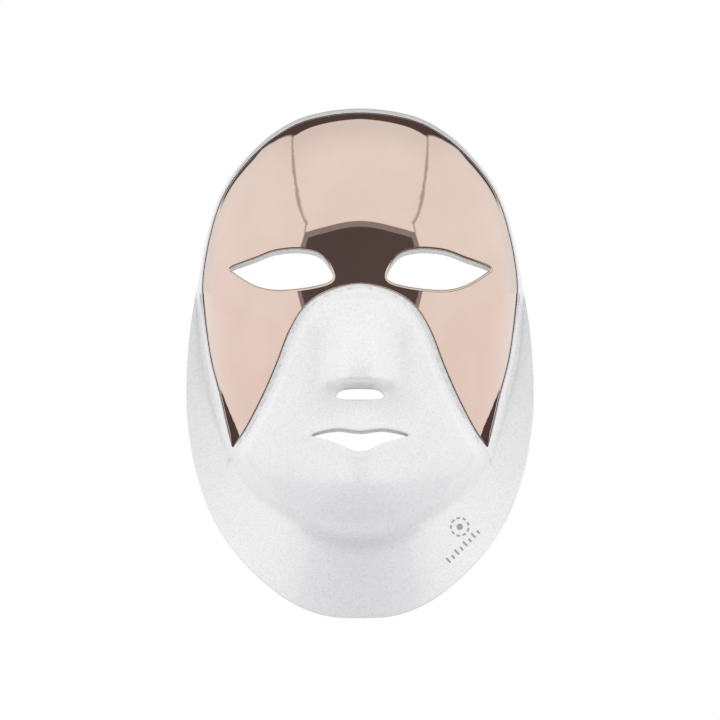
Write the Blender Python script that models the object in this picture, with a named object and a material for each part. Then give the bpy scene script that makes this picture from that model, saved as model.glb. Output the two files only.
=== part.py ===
"""LED face mask: glossy white shell with a mirrored visor plate, LED boards, inner cover, battery bay and head strap.

The mask is worn on a face that looks along -Y. +X is the viewer's right, +Z is up.
The origin is the wearer's nose bridge at eye level. Lengths below are in millimetres.
"""

import math

import bpy
import numpy as np

MM = 0.001

# Mask as a whole
MIDDLE_Z = -45.0  # height of the point that the polar grid spreads from
SPOKES = 48  # points round the mask on every ring of the grid
RINGS = (0.05, 0.1, 0.15, 0.2, 0.26, 0.33, 0.4, 0.48, 0.56, 0.64, 0.72, 0.79, 0.85, 0.9, 0.94, 0.97, 0.99, 1.0)
APEX_Y = -26.0  # front of the dome, before nose and chin are added
DOME_FULLNESS = 2.6
DOME_TURN = 2.2
FILLET = 16.0  # how softly the jaw runs into the flared skirt

# Layers, as insets from the outer surface
PLATE = 1.4
SHELL = 4.2
GAP = 0.3
BOARD = 1.2
BOARD_INSET = 7.2
COVER = 1.6
COVER_INSET = 11.0
COVER_EDGE_INSET = 6.2

# Right-hand halves of the outlines, (x, z) from the bottom to the top
SILHOUETTE = (
    (0, -180.7), (20, -179), (40, -170), (62, -151), (77, -130), (86.5, -106), (91.5, -80), (92.6, -58),
    (90.8, -28), (86.4, -0.5), (82, 23), (74.5, 44.5), (63, 61), (47.5, 75.5), (28, 85.5), (0, 89.3),
)
FACE_EDGE = (
    (0, -142), (30, -137), (52, -124), (67, -104), (74.5, -84), (79, -65), (83.5, -45), (86, -20),
    (86.4, -0.5), (82, 23), (74.5, 44.5), (63, 61), (47.5, 75.5), (28, 85.5), (0, 89.3),
)
VISOR_SIDE = (
    (67.8, -91.4), (71, -77.1), (75.4, -60.1), (79.4, -43.1), (82.5, -26), (83.6, -5), (82, 16.5),
    (77.2, 33.2), (68.2, 49.8), (55.2, 65.8), (44, 74), (27.8, 82), (0, 86.6),
)
VISOR_ARCH = (
    (0, -4.5), (18.1, -9), (29.8, -17.5), (37.5, -30.3), (44.1, -47.3), (51.6, -64.3), (60.6, -81.3), (67.8, -91.4),
)
EYE = (
    (68.3, 3.8), (55.3, 8.5), (44.3, 12.4), (30.6, 13.3), (20, 9.8), (14.3, -1.6), (24.4, -6.1), (43, -8),
    (55.3, -5.6), (66.3, 1),
)
NOSTRILS = ((-12.5, -64.5), (-9, -61.4), (0, -60.8), (9, -61.4), (12.5, -64.5), (9, -66.3), (-9, -66.3))
MOUTH = (
    (-25.3, -85.5), (-13, -82.2), (0, -83.3), (13, -82.2), (25.3, -85.5), (14, -89), (0, -93.9), (-14, -89),
)

# Depth of the rims by the angle above the horizontal, in degrees
FACE_RIM_Y = ((-90, 22), (-60, 40), (-30, 58), (0, 66), (27, 66), (50, 52), (70, 40), (90, 34))
SKIRT_RIM_Y = ((-90, -6), (-70, -4), (-50, 14), (-30, 36), (-8, 54), (27, 66), (60, 80), (90, 90))
SKIRT_FLARE = ((-90, -0.1), (-60, 0.05), (-30, 0.25), (0, 0.4), (27, 0.8), (90, 0.8))

# Eye surrounds
GASKET_WALL = 2.2
GASKET_DROP = 2.6  # the tunnel slants down this much towards the wearer
GASKET_DEPTH = 15.0
EYE_CUT_MARGIN = 3.2

# Battery bay on the wearer's side of the skirt
BAY_HALF = 30.0
BAY_TOP = -140.0
BAY_BOTTOM = -166.0
BAY_BACK = 18.0
BAY_FRONT = 3.0
BAY_WALL = 1.8
BAY_BACK_WALL = 3.0
SCREW_SUNK = 1.7
SCREW_INSET = 4.2
PORT_X = 10.0
BUTTON_X = -12.0
OUTLET_Y = 10.0  # depth of the socket and the button in the bay's underside

# Head strap
STRAP_Z = 35.0
STRAP_HEIGHT = 20.0
STRAP_THICK = 2.4
STRAP_X = 68.5  # middle of the band on its straight sides
STRAP_START = 72.0
STRAP_TURN = 122.0  # where the straight sides meet the half circle round the head
PIVOT_Y = 60.0
PIN_RADIUS = 2.5
HOLE_RADIUS = 2.8
SLIDER_Y = 96.0


def clear_scene():
    for item in list(bpy.data.objects):
        bpy.data.objects.remove(item, do_unlink=True)


def material(name, colour, roughness, metallic=0.0):
    made = bpy.data.materials.get(name) or bpy.data.materials.new(name)
    made.use_nodes = True
    shader = made.node_tree.nodes["Principled BSDF"]
    shader.inputs["Base Color"].default_value = (*colour, 1)
    shader.inputs["Roughness"].default_value = roughness
    shader.inputs["Metallic"].default_value = metallic
    return made


def pearl_white():
    return material("pearl_white", (0.83, 0.82, 0.85), 0.18)


def rose_mirror():
    return material("rose_mirror", (0.86, 0.66, 0.58), 0.05, 1.0)


def white_silicone():
    return material("white_silicone", (0.85, 0.86, 0.83), 0.5)


def milky_cover():
    return material("milky_cover", (0.86, 0.84, 0.85), 0.2)


def led_board():
    return material("led_board", (0.9, 0.9, 0.88), 0.4)


def steel():
    return material("steel", (0.6, 0.6, 0.62), 0.25, 1.0)


def black_plastic():
    return material("black_plastic", (0.03, 0.03, 0.035), 0.4)


def battery_foil():
    return material("battery_foil", (0.55, 0.57, 0.6), 0.3, 0.6)


def smooth_line(points, closed=False, steps=8):
    """A Catmull-Rom curve through the points."""
    points = np.array(points, float)
    if closed:
        ends = (points[-1:], points, points[:2])
    else:
        ends = (2 * points[:1] - points[1:2], points, 2 * points[-1:] - points[-2:-1])
    p = np.concatenate(ends)
    t = np.linspace(0, 1, steps, endpoint=False)[:, None]
    spans = []
    for a, b, c, d in zip(p, p[1:], p[2:], p[3:]):
        spans.append(0.5 * (2 * b + (c - a) * t + (2 * a - 5 * b + 4 * c - d) * t**2 + (3 * b - a - 3 * c + d) * t**3))
    if not closed:
        spans.append(p[-2:-1])
    return np.concatenate(spans)


def mirrored_line(half):
    """The smooth curve through a half outline that starts and ends on the middle line, with level ends."""
    half = np.array(half, float)
    below = half[1:2] * (-1, 1)
    above = half[-2:-1] * (-1, 1)
    line = smooth_line(np.concatenate((below, half, above)))
    return line[8:-8]


def by_angle(pairs):
    line = smooth_line(pairs)
    return lambda angle: np.interp(np.degrees(angle), line[:, 0], line[:, 1])


def radius_of(half):
    line = mirrored_line(half)
    angle = np.arctan2(line[:, 1] - MIDDLE_Z, line[:, 0])
    radius = np.hypot(line[:, 0], line[:, 1] - MIDDLE_Z)
    return lambda at: np.interp(at, angle, radius)


silhouette_radius = radius_of(SILHOUETTE)
face_radius = radius_of(FACE_EDGE)
face_rim = by_angle(FACE_RIM_Y)
skirt_rim = by_angle(SKIRT_RIM_Y)
skirt_flare = by_angle(SKIRT_FLARE)


def step(low, high, value):
    """0 below low, 1 above high, smooth between."""
    t = np.clip((value - low) / (high - low), 0, 1)
    return t * t * (3 - 2 * t)


def bump(x, z, at_x, at_z, wide, tall):
    return np.exp(-(((x - at_x) / wide) ** 2) - ((z - at_z) / tall) ** 2)


def nose(x, z):
    half_width = 9.5 + 5 * step(10, 54, -z)
    height = 19 * step(4, 50, -z) * (1 - step(54, 61.5, -z))
    return -height * np.exp(-(np.abs(x / half_width) ** 3.4))


def features(x, z):
    """What the nose, lips, chin and eye sockets add to the dome's depth."""
    lips = -4.5 * bump(x, z, 0, -86, 28, 14)
    chin = -13 * bump(x, z, 0, -113, 32, 20)
    bridge = 7 * bump(x, z, 0, 1, 24, 20)
    sockets = 3.5 * bump(np.abs(x), z, 37, 2, 26, 15)
    return nose(x, z) + lips + chin + bridge + sockets


def dome(share):
    inside = np.clip(share, 0, 1)
    beyond = np.clip(share - 1, 0, None)
    return 1 - (1 - inside**DOME_FULLNESS) ** (1 / DOME_TURN) + 6 * beyond


def depth(x, z, inset=0.0):
    """Y of the surface that lies this far inside the mask's outer skin."""
    angle = np.arctan2(z - MIDDLE_Z, np.abs(x) + 1e-9)
    radius = np.hypot(x, z - MIDDLE_Z)
    front = APEX_Y + inset
    face = front + (face_rim(angle) - front) * dome(radius / (face_radius(angle) - inset))
    face = face + features(x, z) * (1 - step(0.8, 1, radius / face_radius(angle)))
    skirt = skirt_rim(angle) + skirt_flare(angle) * (silhouette_radius(angle) - radius) + inset
    skirt = skirt + 60 * step(27, 42, np.degrees(angle))
    nearness = np.clip(1 - np.abs(face - skirt) / FILLET, 0, 1)
    return np.minimum(face, skirt) - nearness**2 * FILLET / 4


def mesh_object(name, points, faces, made_of, smooth=True):
    mesh = bpy.data.meshes.new(name)
    mesh.from_pydata((np.array(points, float) * MM).tolist(), [], faces)
    mesh.materials.append(made_of)
    mesh.validate()
    if smooth:
        mesh.shade_smooth()
        mesh.set_sharp_from_angle(angle=math.radians(40))
    made = bpy.data.objects.new(name, mesh)
    bpy.context.scene.collection.objects.link(made)
    return made


def as_cutter(made):
    made.hide_render = True
    made.display_type = "WIRE"
    return made


def combine(target, other, operation="DIFFERENCE"):
    cut = target.modifiers.new(other.name, "BOOLEAN")
    cut.operation = operation
    cut.object = as_cutter(other)
    cut.solver = "EXACT"
    return target


def bevelled(made, width, segments=2):
    edge = made.modifiers.new("edge", "BEVEL")
    edge.width = width * MM
    edge.segments = segments
    edge.limit_method = "ANGLE"
    return made


def facing_out(points, faces):
    """The faces of a closed body, turned round if they point inwards."""
    triangles = np.array([(f[0], f[k], f[k + 1]) for f in faces for k in range(1, len(f) - 1)])
    corners = points[triangles]
    volume = np.einsum("ij,ij->i", corners[:, 0], np.cross(corners[:, 1], corners[:, 2])).sum()
    return [f[::-1] for f in faces] if volume < 0 else faces


def box(name, low, high, made_of, edge=0.0):
    corners = [(x, y, z) for x in (low[0], high[0]) for y in (low[1], high[1]) for z in (low[2], high[2])]
    faces = [(0, 1, 3, 2), (4, 6, 7, 5), (0, 4, 5, 1), (2, 3, 7, 6), (0, 2, 6, 4), (1, 5, 7, 3)]
    made = mesh_object(name, corners, faces, made_of, smooth=False)
    return bevelled(made, edge) if edge else made


def loops_solid(name, loops, made_of, ring=False, smooth=True):
    """A closed body through matching loops of points: capped at both ends, or joined end to start."""
    count = len(loops[0])
    points = np.concatenate(loops)
    faces = []
    for row in range(len(loops) if ring else len(loops) - 1):
        a = row * count
        b = (row + 1) % len(loops) * count
        for i in range(count):
            j = (i + 1) % count
            faces.append((a + i, a + j, b + j, b + i))
    if not ring:
        faces.append(tuple(range(count))[::-1])
        faces.append(tuple(range(len(points) - count, len(points))))
    return mesh_object(name, points, facing_out(points, faces), made_of, smooth)


def prism(name, outline, near=-120.0, far=120.0, made_of=None):
    """An outline in x and z, extruded along Y."""
    loops = [np.insert(np.array(outline, float), 1, y, axis=1) for y in (near, far)]
    return loops_solid(name, loops, made_of or pearl_white(), smooth=False)


def turned(name, profile, axis, at, made_of, sides=20):
    """A solid turned about an axis: the profile holds (radius, place along the axis)."""
    angles = np.linspace(0, 2 * math.pi, sides, endpoint=False)
    order = {"x": (2, 0, 1), "y": (1, 2, 0), "z": (0, 1, 2)}[axis]
    loops = []
    for radius, along in profile:
        ring = np.stack((radius * np.cos(angles), radius * np.sin(angles), np.full(sides, along)), axis=1)
        loops.append(ring[:, order] + at)
    return loops_solid(name, loops, made_of)


def grown(outline, by):
    """A closed outline moved outwards by a distance, along its own normals."""
    line = np.array(outline, float)
    along = np.roll(line, -1, axis=0) - np.roll(line, 1, axis=0)
    normal = np.stack((along[:, 1], -along[:, 0]), axis=1)
    normal /= np.linalg.norm(normal, axis=1)[:, None]
    area = (line[:, 0] * np.roll(line[:, 1], -1) - np.roll(line[:, 0], -1) * line[:, 1]).sum()
    return line + normal * (by if area > 0 else -by)


def visor_outline(margin=0.0):
    side = smooth_line(VISOR_SIDE, steps=3)
    arch = smooth_line(VISOR_ARCH, steps=3)[1:-1]
    right = np.concatenate((arch, side[:-1]))
    outline = np.concatenate((right, right[::-1] * (-1, 1)))
    return grown(outline, margin) if margin else outline


def eye_outline(side, margin=0.0):
    line = smooth_line(EYE, closed=True, steps=3)
    if margin:
        line = grown(line, margin)
    return line * (side, 1)


def rim_shrink(angle):
    """How much of a layer's inset moves its rim inwards: all of it beside the face, little on the flat skirt."""
    return 0.3 + 0.7 * step(0, 27, np.degrees(angle))


def layer(name, front, back, made_of):
    """The whole mask as one skin between two insets, which may depend on the place."""
    angles = np.linspace(-math.pi, math.pi, SPOKES, endpoint=False)
    folded = np.arcsin(np.sin(angles))
    sheets = []
    for inset in (front, back):
        x = np.zeros(1)
        z = np.full(1, MIDDLE_Z)
        for ring in RINGS:
            rough = ring * silhouette_radius(folded)
            by = inset(rough * np.cos(angles), MIDDLE_Z + rough * np.sin(angles), ring)
            radius = ring * (silhouette_radius(folded) - by * rim_shrink(folded))
            x = np.append(x, radius * np.cos(angles))
            z = np.append(z, MIDDLE_Z + radius * np.sin(angles))
        share = np.repeat((0, *RINGS), (1, *[SPOKES] * len(RINGS)))
        sheets.append(np.stack((x, depth(x, z, inset(x, z, share)), z), axis=1))
    points = np.concatenate(sheets)
    count = len(points) // 2
    faces = []
    for j in range(SPOKES):
        k = (j + 1) % SPOKES
        triangles = [(0, 1 + j, 1 + k)]
        for i in range(len(RINGS) - 1):
            a = 1 + i * SPOKES
            b = a + SPOKES
            # The diagonals mirror each other left and right, and match from layer to layer.
            if SPOKES / 4 <= j < 3 * SPOKES / 4:
                triangles += [(a + j, b + j, b + k), (a + j, b + k, a + k)]
            else:
                triangles += [(a + j, b + j, a + k), (b + j, b + k, a + k)]
        faces += triangles
        faces += [(count + c, count + b, count + a) for a, b, c in triangles]
        last = 1 + (len(RINGS) - 1) * SPOKES
        faces.append((last + j, count + last + j, count + last + k, last + k))
    return mesh_object(name, points, facing_out(points, faces), made_of)


def even(inset):
    return lambda x, z, share: np.full(np.broadcast(x, z).shape, float(inset))


def distance_to(outline, x, z):
    line = np.array(outline)
    gaps = np.hypot(np.subtract.outer(x, line[:, 0]), np.subtract.outer(z, line[:, 1]))
    return gaps.min(axis=-1)


def cover_inset(extra):
    """The inner cover meets the shell along the skirt and the rim, and round the nostrils and the mouth."""

    def inset(x, z, share):
        x, z, share = np.broadcast_arrays(np.atleast_1d(x), np.atleast_1d(z), np.atleast_1d(share))
        openings = np.concatenate((smooth_line(NOSTRILS, True, 4), smooth_line(MOUTH, True, 4)))
        angle = np.arctan2(z - MIDDLE_Z, np.abs(x) + 1e-9)
        edge = np.hypot(x, z - MIDDLE_Z) / face_radius(angle)
        away = step(3, 13, distance_to(openings, x, z)) * (1 - step(0.86, 0.98, np.maximum(edge, share)))
        return COVER_EDGE_INSET + (COVER_INSET - COVER_EDGE_INSET) * away + extra

    return inset


def cut_openings(made, eye_margin, margin):
    for side, name in ((-1, "left"), (1, "right")):
        combine(made, prism(made.name + "_eye_cut_" + name, eye_outline(side, eye_margin)))
    for name, outline in (("nostrils", NOSTRILS), ("mouth", MOUTH)):
        line = grown(smooth_line(outline, True, 3), margin)
        combine(made, prism(made.name + "_" + name + "_cut", line))


def outer_shell():
    made = layer("outer_shell", even(0), even(SHELL), pearl_white())
    recess = layer("visor_recess", even(-3), even(PLATE + GAP), pearl_white())
    combine(recess, prism("visor_recess_edge", visor_outline(GAP)), "INTERSECT")
    combine(made, recess)
    cut_openings(made, EYE_CUT_MARGIN, 0.0)


def visor_plate():
    made = layer("visor_plate", even(0), even(PLATE), rose_mirror())
    combine(made, prism("visor_edge", visor_outline()), "INTERSECT")
    for side, name in ((-1, "left"), (1, "right")):
        combine(made, prism("visor_eye_" + name, eye_outline(side)))


def inner_cover():
    made = layer("inner_cover", cover_inset(0), cover_inset(COVER), milky_cover())
    half = BAY_HALF - 5
    window = [(-half, BAY_BOTTOM + 5), (half, BAY_BOTTOM + 5), (half, BAY_TOP - 5), (-half, BAY_TOP - 5)]
    combine(made, prism("bay_window", window))
    cut_openings(made, EYE_CUT_MARGIN, 1.2)


def eye_gasket(side, name):
    inner = eye_outline(side, 0.3)
    outer = eye_outline(side, 0.3 + GASKET_WALL)
    loops = []
    for line, shares in ((inner, (0, 0.5, 1)), (outer, (1, 0.5, 0))):
        for share in shares:
            x = line[:, 0]
            z = line[:, 1] - GASKET_DROP * share * (line is inner)
            y = depth(x, z, PLATE + GAP) + 0.5 + GASKET_DEPTH * share
            loops.append(np.stack((x, y, z), axis=1))
    loops_solid("eye_gasket_" + name, loops, white_silicone(), ring=True)


def patch(name, across, up, front, back, made_of, columns=6, rows=4, follow=None):
    """A slab that follows the mask between two insets, over a range of x and z."""
    follow = follow or (lambda x, z: (x, z))
    u, v = np.meshgrid(np.linspace(*across, columns + 1), np.linspace(*up, rows + 1), indexing="ij")
    x, z = follow(u.ravel(), v.ravel())
    points = [np.stack((x, depth(x, z, inset), z), axis=1) for inset in (front, back)]
    count = len(x)

    def at(i, j):
        return i * (rows + 1) + j

    faces = []
    for i in range(columns):
        for j in range(rows):
            quad = (at(i, j), at(i + 1, j), at(i + 1, j + 1), at(i, j + 1))
            faces.append(quad)
            faces.append(tuple(count + n for n in quad[::-1]))
    border = [at(i, 0) for i in range(columns)] + [at(columns, j) for j in range(rows)]
    border += [at(i, rows) for i in range(columns, 0, -1)] + [at(0, j) for j in range(rows, 0, -1)]
    for a, b in zip(border, border[1:] + border[:1]):
        faces.append((b, a, count + a, count + b))
    points = np.concatenate(points)
    return mesh_object(name, points, facing_out(points, faces), made_of)


def ribbon(name, path, width, inset=9.2, thick=0.5):
    """A flat cable that runs along the boards' wearer side."""
    line = smooth_line(path, steps=4)
    along = np.gradient(line, axis=0)
    side = np.stack((-along[:, 1], along[:, 0]), axis=1) / np.linalg.norm(along, axis=1)[:, None]

    def follow(u, v):
        at = np.rint(u).astype(int)
        return line[at, 0] + side[at, 0] * v, line[at, 1] + side[at, 1] * v

    last = len(line) - 1
    made_of = material("flat_cable", (0.86, 0.86, 0.82), 0.45)
    patch(name, (0, last), (width / 2, -width / 2), inset, inset + thick, made_of, last, 1, follow)


def led_boards():
    front, back = BOARD_INSET, BOARD_INSET + BOARD
    patch("led_board_forehead", (-38, 38), (26, 58), front, back, led_board(), 10, 5)
    patch("led_board_chin", (-24, 24), (-127, -109), front, back, led_board(), 8, 5)
    for side, name in ((-1, "left"), (1, "right")):
        across = (28, 64) if side > 0 else (-64, -28)
        patch("led_board_cheek_" + name, across, (-60, -16), front, back, led_board(), 5, 5)
        ribbon("flat_cable_cheek_" + name, [(side * 21, -114), (side * 40, -94), (side * 46, -56)], 7)
    ribbon("flat_cable_forehead", [(6, 31), (5, 4), (13, -15), (31, -28)], 6)
    ribbon("flat_cable_chin", [(0, -128.5), (0, -134), (0, -141), (0, -151)], 9, 5.0, 0.4)


def pads():
    across = COVER_INSET + COVER + 1
    patch("forehead_pad", (-32, 32), (42, 60), across, across + 7, white_silicone(), 8, 3)
    patch("nose_pad", (-10.5, 10.5), (-20, -3), across, across + 4.5, white_silicone(), 6, 4)


def bay_cover():
    """A five-sided tray, open towards the mask's front, with two outlets in its underside."""
    made = box("bay_cover", (-BAY_HALF, BAY_FRONT, BAY_BOTTOM), (BAY_HALF, BAY_BACK, BAY_TOP), pearl_white(), 1.6)
    wall = BAY_WALL
    hollow = box(
        "bay_hollow",
        (wall - BAY_HALF, BAY_FRONT - 5, BAY_BOTTOM + wall),
        (BAY_HALF - wall, BAY_BACK - BAY_BACK_WALL, BAY_TOP - wall),
        pearl_white(),
    )
    combine(made, hollow)
    low = BAY_BOTTOM - 4
    socket = ((PORT_X - 4.9, OUTLET_Y - 2), (PORT_X + 4.9, OUTLET_Y + 2))
    combine(made, box("port_hole", (*socket[0], low), (*socket[1], low + 8), pearl_white()))
    combine(made, turned("button_hole", ((4.3, low), (4.3, low + 8)), "z", (BUTTON_X, OUTLET_Y, 0), pearl_white()))
    combine(made, turned("light_hole", ((1.5, low), (1.5, low + 8)), "z", (0, OUTLET_Y, 0), pearl_white()))
    for x, z in bay_corners():
        profile = ((1.6, 0), (1.6, BAY_BACK - SCREW_SUNK), (3, BAY_BACK - SCREW_SUNK), (3, BAY_BACK + 10))
        combine(made, turned(f"screw_hole_{x:.0f}_{z:.0f}", profile, "y", (x, 0, z), pearl_white(), 12))


def bay_corners():
    across = BAY_HALF - SCREW_INSET
    return [(x, z) for x in (-across, across) for z in (BAY_BOTTOM + SCREW_INSET, BAY_TOP - SCREW_INSET)]


def bay_screws():
    seat = BAY_BACK - SCREW_SUNK + GAP
    profile = ((2.2, seat + 1.2), (2.6, seat + 0.9), (2.6, seat), (1.2, seat), (1.2, BAY_FRONT + 2))
    for number, (x, z) in enumerate(bay_corners(), 1):
        turned(f"bay_screw_{number}", profile, "y", (x, 0, z), steel(), 12)


def bay_contents():
    top = BAY_TOP - BAY_WALL - 1
    board = material("control_board", (0.02, 0.18, 0.1), 0.4)
    box("control_board", (-20, BAY_FRONT - 0.5, -160), (20, BAY_FRONT + 0.7, -147), board)
    box("battery", (-22, BAY_FRONT + 3, -156.5), (15, BAY_FRONT + 9.5, top - 2), battery_foil(), 1.0)
    turned("buzzer", ((4.2, 1.2), (4.2, 4.2)), "y", (21, BAY_FRONT, -150), black_plastic())
    socket = box("usb_socket", (PORT_X - 4.5, OUTLET_Y - 1.65, BAY_BOTTOM + 0.2),
                 (PORT_X + 4.5, OUTLET_Y + 1.65, BAY_BOTTOM + 7), steel(), 0.6)
    mouth = box("usb_mouth", (PORT_X - 4.2, OUTLET_Y - 1.3, BAY_BOTTOM - 2),
                (PORT_X + 4.2, OUTLET_Y + 1.3, BAY_BOTTOM + 6), steel())
    combine(socket, mouth)


def port_cover():
    flap = box("port_cover", (PORT_X - 7, OUTLET_Y - 5, BAY_BOTTOM - 2),
               (PORT_X + 7, OUTLET_Y + 5.5, BAY_BOTTOM - 0.4), white_silicone(), 0.5)
    return flap


def power_button():
    under = BAY_BOTTOM
    profile = (
        (3.0, under - 1.4), (3.9, under - 0.9), (3.9, under + BAY_WALL + GAP), (5, under + BAY_WALL + GAP),
        (5, under + BAY_WALL + 1.1),
    )
    turned("power_button", profile, "z", (BUTTON_X, OUTLET_Y, 0), white_silicone())
    bottom = under + BAY_WALL + 2.1
    box("tact_switch", (BUTTON_X - 3, OUTLET_Y - 3, bottom), (BUTTON_X + 3, OUTLET_Y + 3, bottom + 3.4),
        black_plastic(), 0.3)
    pipe = material("light_pipe", (0.75, 0.85, 0.9), 0.1)
    turned("status_light", ((1.2, under - 0.2), (1.2, under + 6)), "z", (0, OUTLET_Y, 0), pipe, 12)


def strap_path(offset=0.0, steps=28):
    """Plan view of the band, from its left end round the back of the head to its right end."""
    angles = np.linspace(math.pi, 0, steps)
    radius = STRAP_X + offset
    arc = np.stack((radius * np.cos(angles), STRAP_TURN + radius * np.sin(angles)), axis=1)
    return np.concatenate(([(-radius, STRAP_START)], arc, [(radius, STRAP_START)]))


def strap():
    outer = strap_path(STRAP_THICK / 2)
    inner = strap_path(-STRAP_THICK / 2)
    outline = np.concatenate((outer, inner[::-1]))
    half = STRAP_HEIGHT / 2
    loops = [np.insert(outline, 2, z, axis=1) for z in (STRAP_Z - half, STRAP_Z + half)]
    loops_solid("strap_band", loops, white_silicone())


def strap_slider(side, name):
    """A buckle that wraps the band on its straight side."""
    x = side * STRAP_X
    half = STRAP_HEIGHT / 2
    made = box("strap_slider_" + name, (x - 3.2, SLIDER_Y - 5, STRAP_Z - half - 2.4),
               (x + 3.2, SLIDER_Y + 5, STRAP_Z + half + 2.4), pearl_white(), 0.8)
    slot = box("slot_" + name, (x - 1.6, SLIDER_Y - 20, STRAP_Z - half - 0.4),
               (x + 1.6, SLIDER_Y + 20, STRAP_Z + half + 0.4), pearl_white())
    combine(made, slot)


def strap_clip(side, name):
    """The hard end of the band: an eye that turns on the pivot pin."""
    x = side * STRAP_X
    half = STRAP_HEIGHT / 2
    outline = [(STRAP_START - GAP, -half), (STRAP_START - GAP, half)]
    for turn in np.linspace(60, 300, 9):
        outline.append((PIVOT_Y + 7 * math.cos(math.radians(turn)), 7 * math.sin(math.radians(turn))))
    outline = np.array(outline)
    loops = []
    for at in (x - 1.4, x + 1.4):
        loops.append(np.stack((np.full(len(outline), at), outline[:, 0], STRAP_Z + outline[:, 1]), axis=1))
    made = loops_solid("strap_clip_" + name, loops, pearl_white(), smooth=False)
    combine(made, pivot_hole(side, "clip_hole_" + name))


def pivot_hole(side, name):
    low, high = sorted((side * 50, side * 90))
    return turned(name, ((HOLE_RADIUS, low), (HOLE_RADIUS, high)), "x", (0, PIVOT_Y, STRAP_Z), pearl_white())


def temple_bracket(side, name):
    """A plate inside the rim that carries the pivot pin."""
    near, far = sorted((side * (STRAP_X - 5.4), side * (STRAP_X - 2.2)))
    outline = [(47, -8.5), (47, 8.5)]
    for turn in np.linspace(80, -80, 9):
        outline.append((PIVOT_Y + 6.5 * math.cos(math.radians(turn)), 6.5 * math.sin(math.radians(turn))))
    outline = np.array(outline)
    loops = []
    for at in (near, far):
        loops.append(np.stack((np.full(len(outline), at), outline[:, 0], STRAP_Z + outline[:, 1]), axis=1))
    made = loops_solid("temple_bracket_" + name, loops, pearl_white(), smooth=False)
    combine(made, pivot_hole(side, "bracket_hole_" + name))


def pivot_pin(side, name):
    start = STRAP_X - 7
    end = STRAP_X + 1.7
    profile = ((4.2, start), (4.2, start + 1.3), (PIN_RADIUS, start + 1.3), (PIN_RADIUS, end), (4.2, end),
               (3.6, end + 1.2))
    profile = [(radius, side * along) for radius, along in profile]
    turned("pivot_pin_" + name, profile, "x", (0, PIVOT_Y, STRAP_Z), steel())


def rear_pad():
    """A soft cushion on the inside of the band, behind the head."""
    angles = np.linspace(math.radians(122), math.radians(58), 13)
    loops = []
    for angle in angles:
        ring = []
        for radius, z in ((-1.6, -12), (-1.6, 12), (-6, 12), (-6, -12)):
            reach = STRAP_X + radius
            ring.append((reach * math.cos(angle), STRAP_TURN + reach * math.sin(angle), STRAP_Z + z))
        loops.append(np.array(ring))
    loops_solid("rear_pad", loops, white_silicone())


def build():
    clear_scene()
    outer_shell()
    visor_plate()
    inner_cover()
    led_boards()
    pads()
    bay_cover()
    bay_screws()
    bay_contents()
    port_cover()
    power_button()
    strap()
    rear_pad()
    for side, name in ((-1, "left"), (1, "right")):
        eye_gasket(side, name)
        temple_bracket(side, name)
        pivot_pin(side, name)
        strap_clip(side, name)
        strap_slider(side, name)


build()
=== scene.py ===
"""The looks of the LED face mask: pearl shell, mirrored rose-gold visor, milky cover and head strap."""

import math

import bmesh
import bpy
import numpy as np
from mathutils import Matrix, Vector
from mathutils.geometry import delaunay_2d_cdt


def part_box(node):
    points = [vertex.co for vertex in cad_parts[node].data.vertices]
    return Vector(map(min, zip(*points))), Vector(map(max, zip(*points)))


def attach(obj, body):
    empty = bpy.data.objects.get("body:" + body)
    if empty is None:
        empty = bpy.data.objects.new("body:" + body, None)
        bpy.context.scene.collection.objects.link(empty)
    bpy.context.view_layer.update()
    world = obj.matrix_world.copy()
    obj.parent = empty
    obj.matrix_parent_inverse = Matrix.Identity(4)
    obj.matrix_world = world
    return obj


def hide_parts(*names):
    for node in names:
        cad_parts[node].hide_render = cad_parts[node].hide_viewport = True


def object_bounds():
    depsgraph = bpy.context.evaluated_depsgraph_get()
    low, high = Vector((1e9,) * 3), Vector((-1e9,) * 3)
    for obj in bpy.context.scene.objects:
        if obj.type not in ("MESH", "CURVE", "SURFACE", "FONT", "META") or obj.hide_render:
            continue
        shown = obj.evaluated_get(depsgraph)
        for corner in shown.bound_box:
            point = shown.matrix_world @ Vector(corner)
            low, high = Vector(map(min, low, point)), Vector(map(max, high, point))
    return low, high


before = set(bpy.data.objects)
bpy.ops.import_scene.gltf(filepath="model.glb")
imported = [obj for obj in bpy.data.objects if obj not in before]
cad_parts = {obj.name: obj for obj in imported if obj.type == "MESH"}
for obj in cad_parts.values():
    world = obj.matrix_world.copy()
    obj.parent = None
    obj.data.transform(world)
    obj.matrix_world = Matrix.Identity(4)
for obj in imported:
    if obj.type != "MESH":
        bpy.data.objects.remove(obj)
cad_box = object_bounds()

MM = 0.001

# The mask's form, in millimetres. It follows the frame, with the visor's edges drawn smoother
MIDDLE_Z = -45.0
APEX_Y = -26.0
DOME_FULLNESS = 2.6
DOME_TURN = 2.2
FILLET = 16.0
PLATE = 1.4
SHELL = 4.2
GAP = 0.3
COVER = 1.6
COVER_INSET = 11.0
COVER_EDGE_INSET = 6.2
SILHOUETTE = (
    (0, -180.7), (20, -179), (40, -170), (62, -151), (77, -130), (86.5, -106), (91.5, -80), (92.6, -58),
    (90.8, -28), (86.4, -0.5), (82, 23), (74.5, 44.5), (63, 61), (47.5, 75.5), (28, 85.5), (0, 89.3),
)
FACE_EDGE = (
    (0, -142), (30, -137), (52, -124), (67, -104), (74.5, -84), (79, -65), (83.5, -45), (86, -20),
    (86.4, -0.5), (82, 23), (74.5, 44.5), (63, 61), (47.5, 75.5), (28, 85.5), (0, 89.3),
)
VISOR_ARCH = (
    (0, -4.5), (18.1, -9), (29.8, -17.5), (37.5, -30.3), (44.1, -47.3), (51.6, -64.3), (60.6, -81.3),
    (67.8, -91.4),
)
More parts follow.
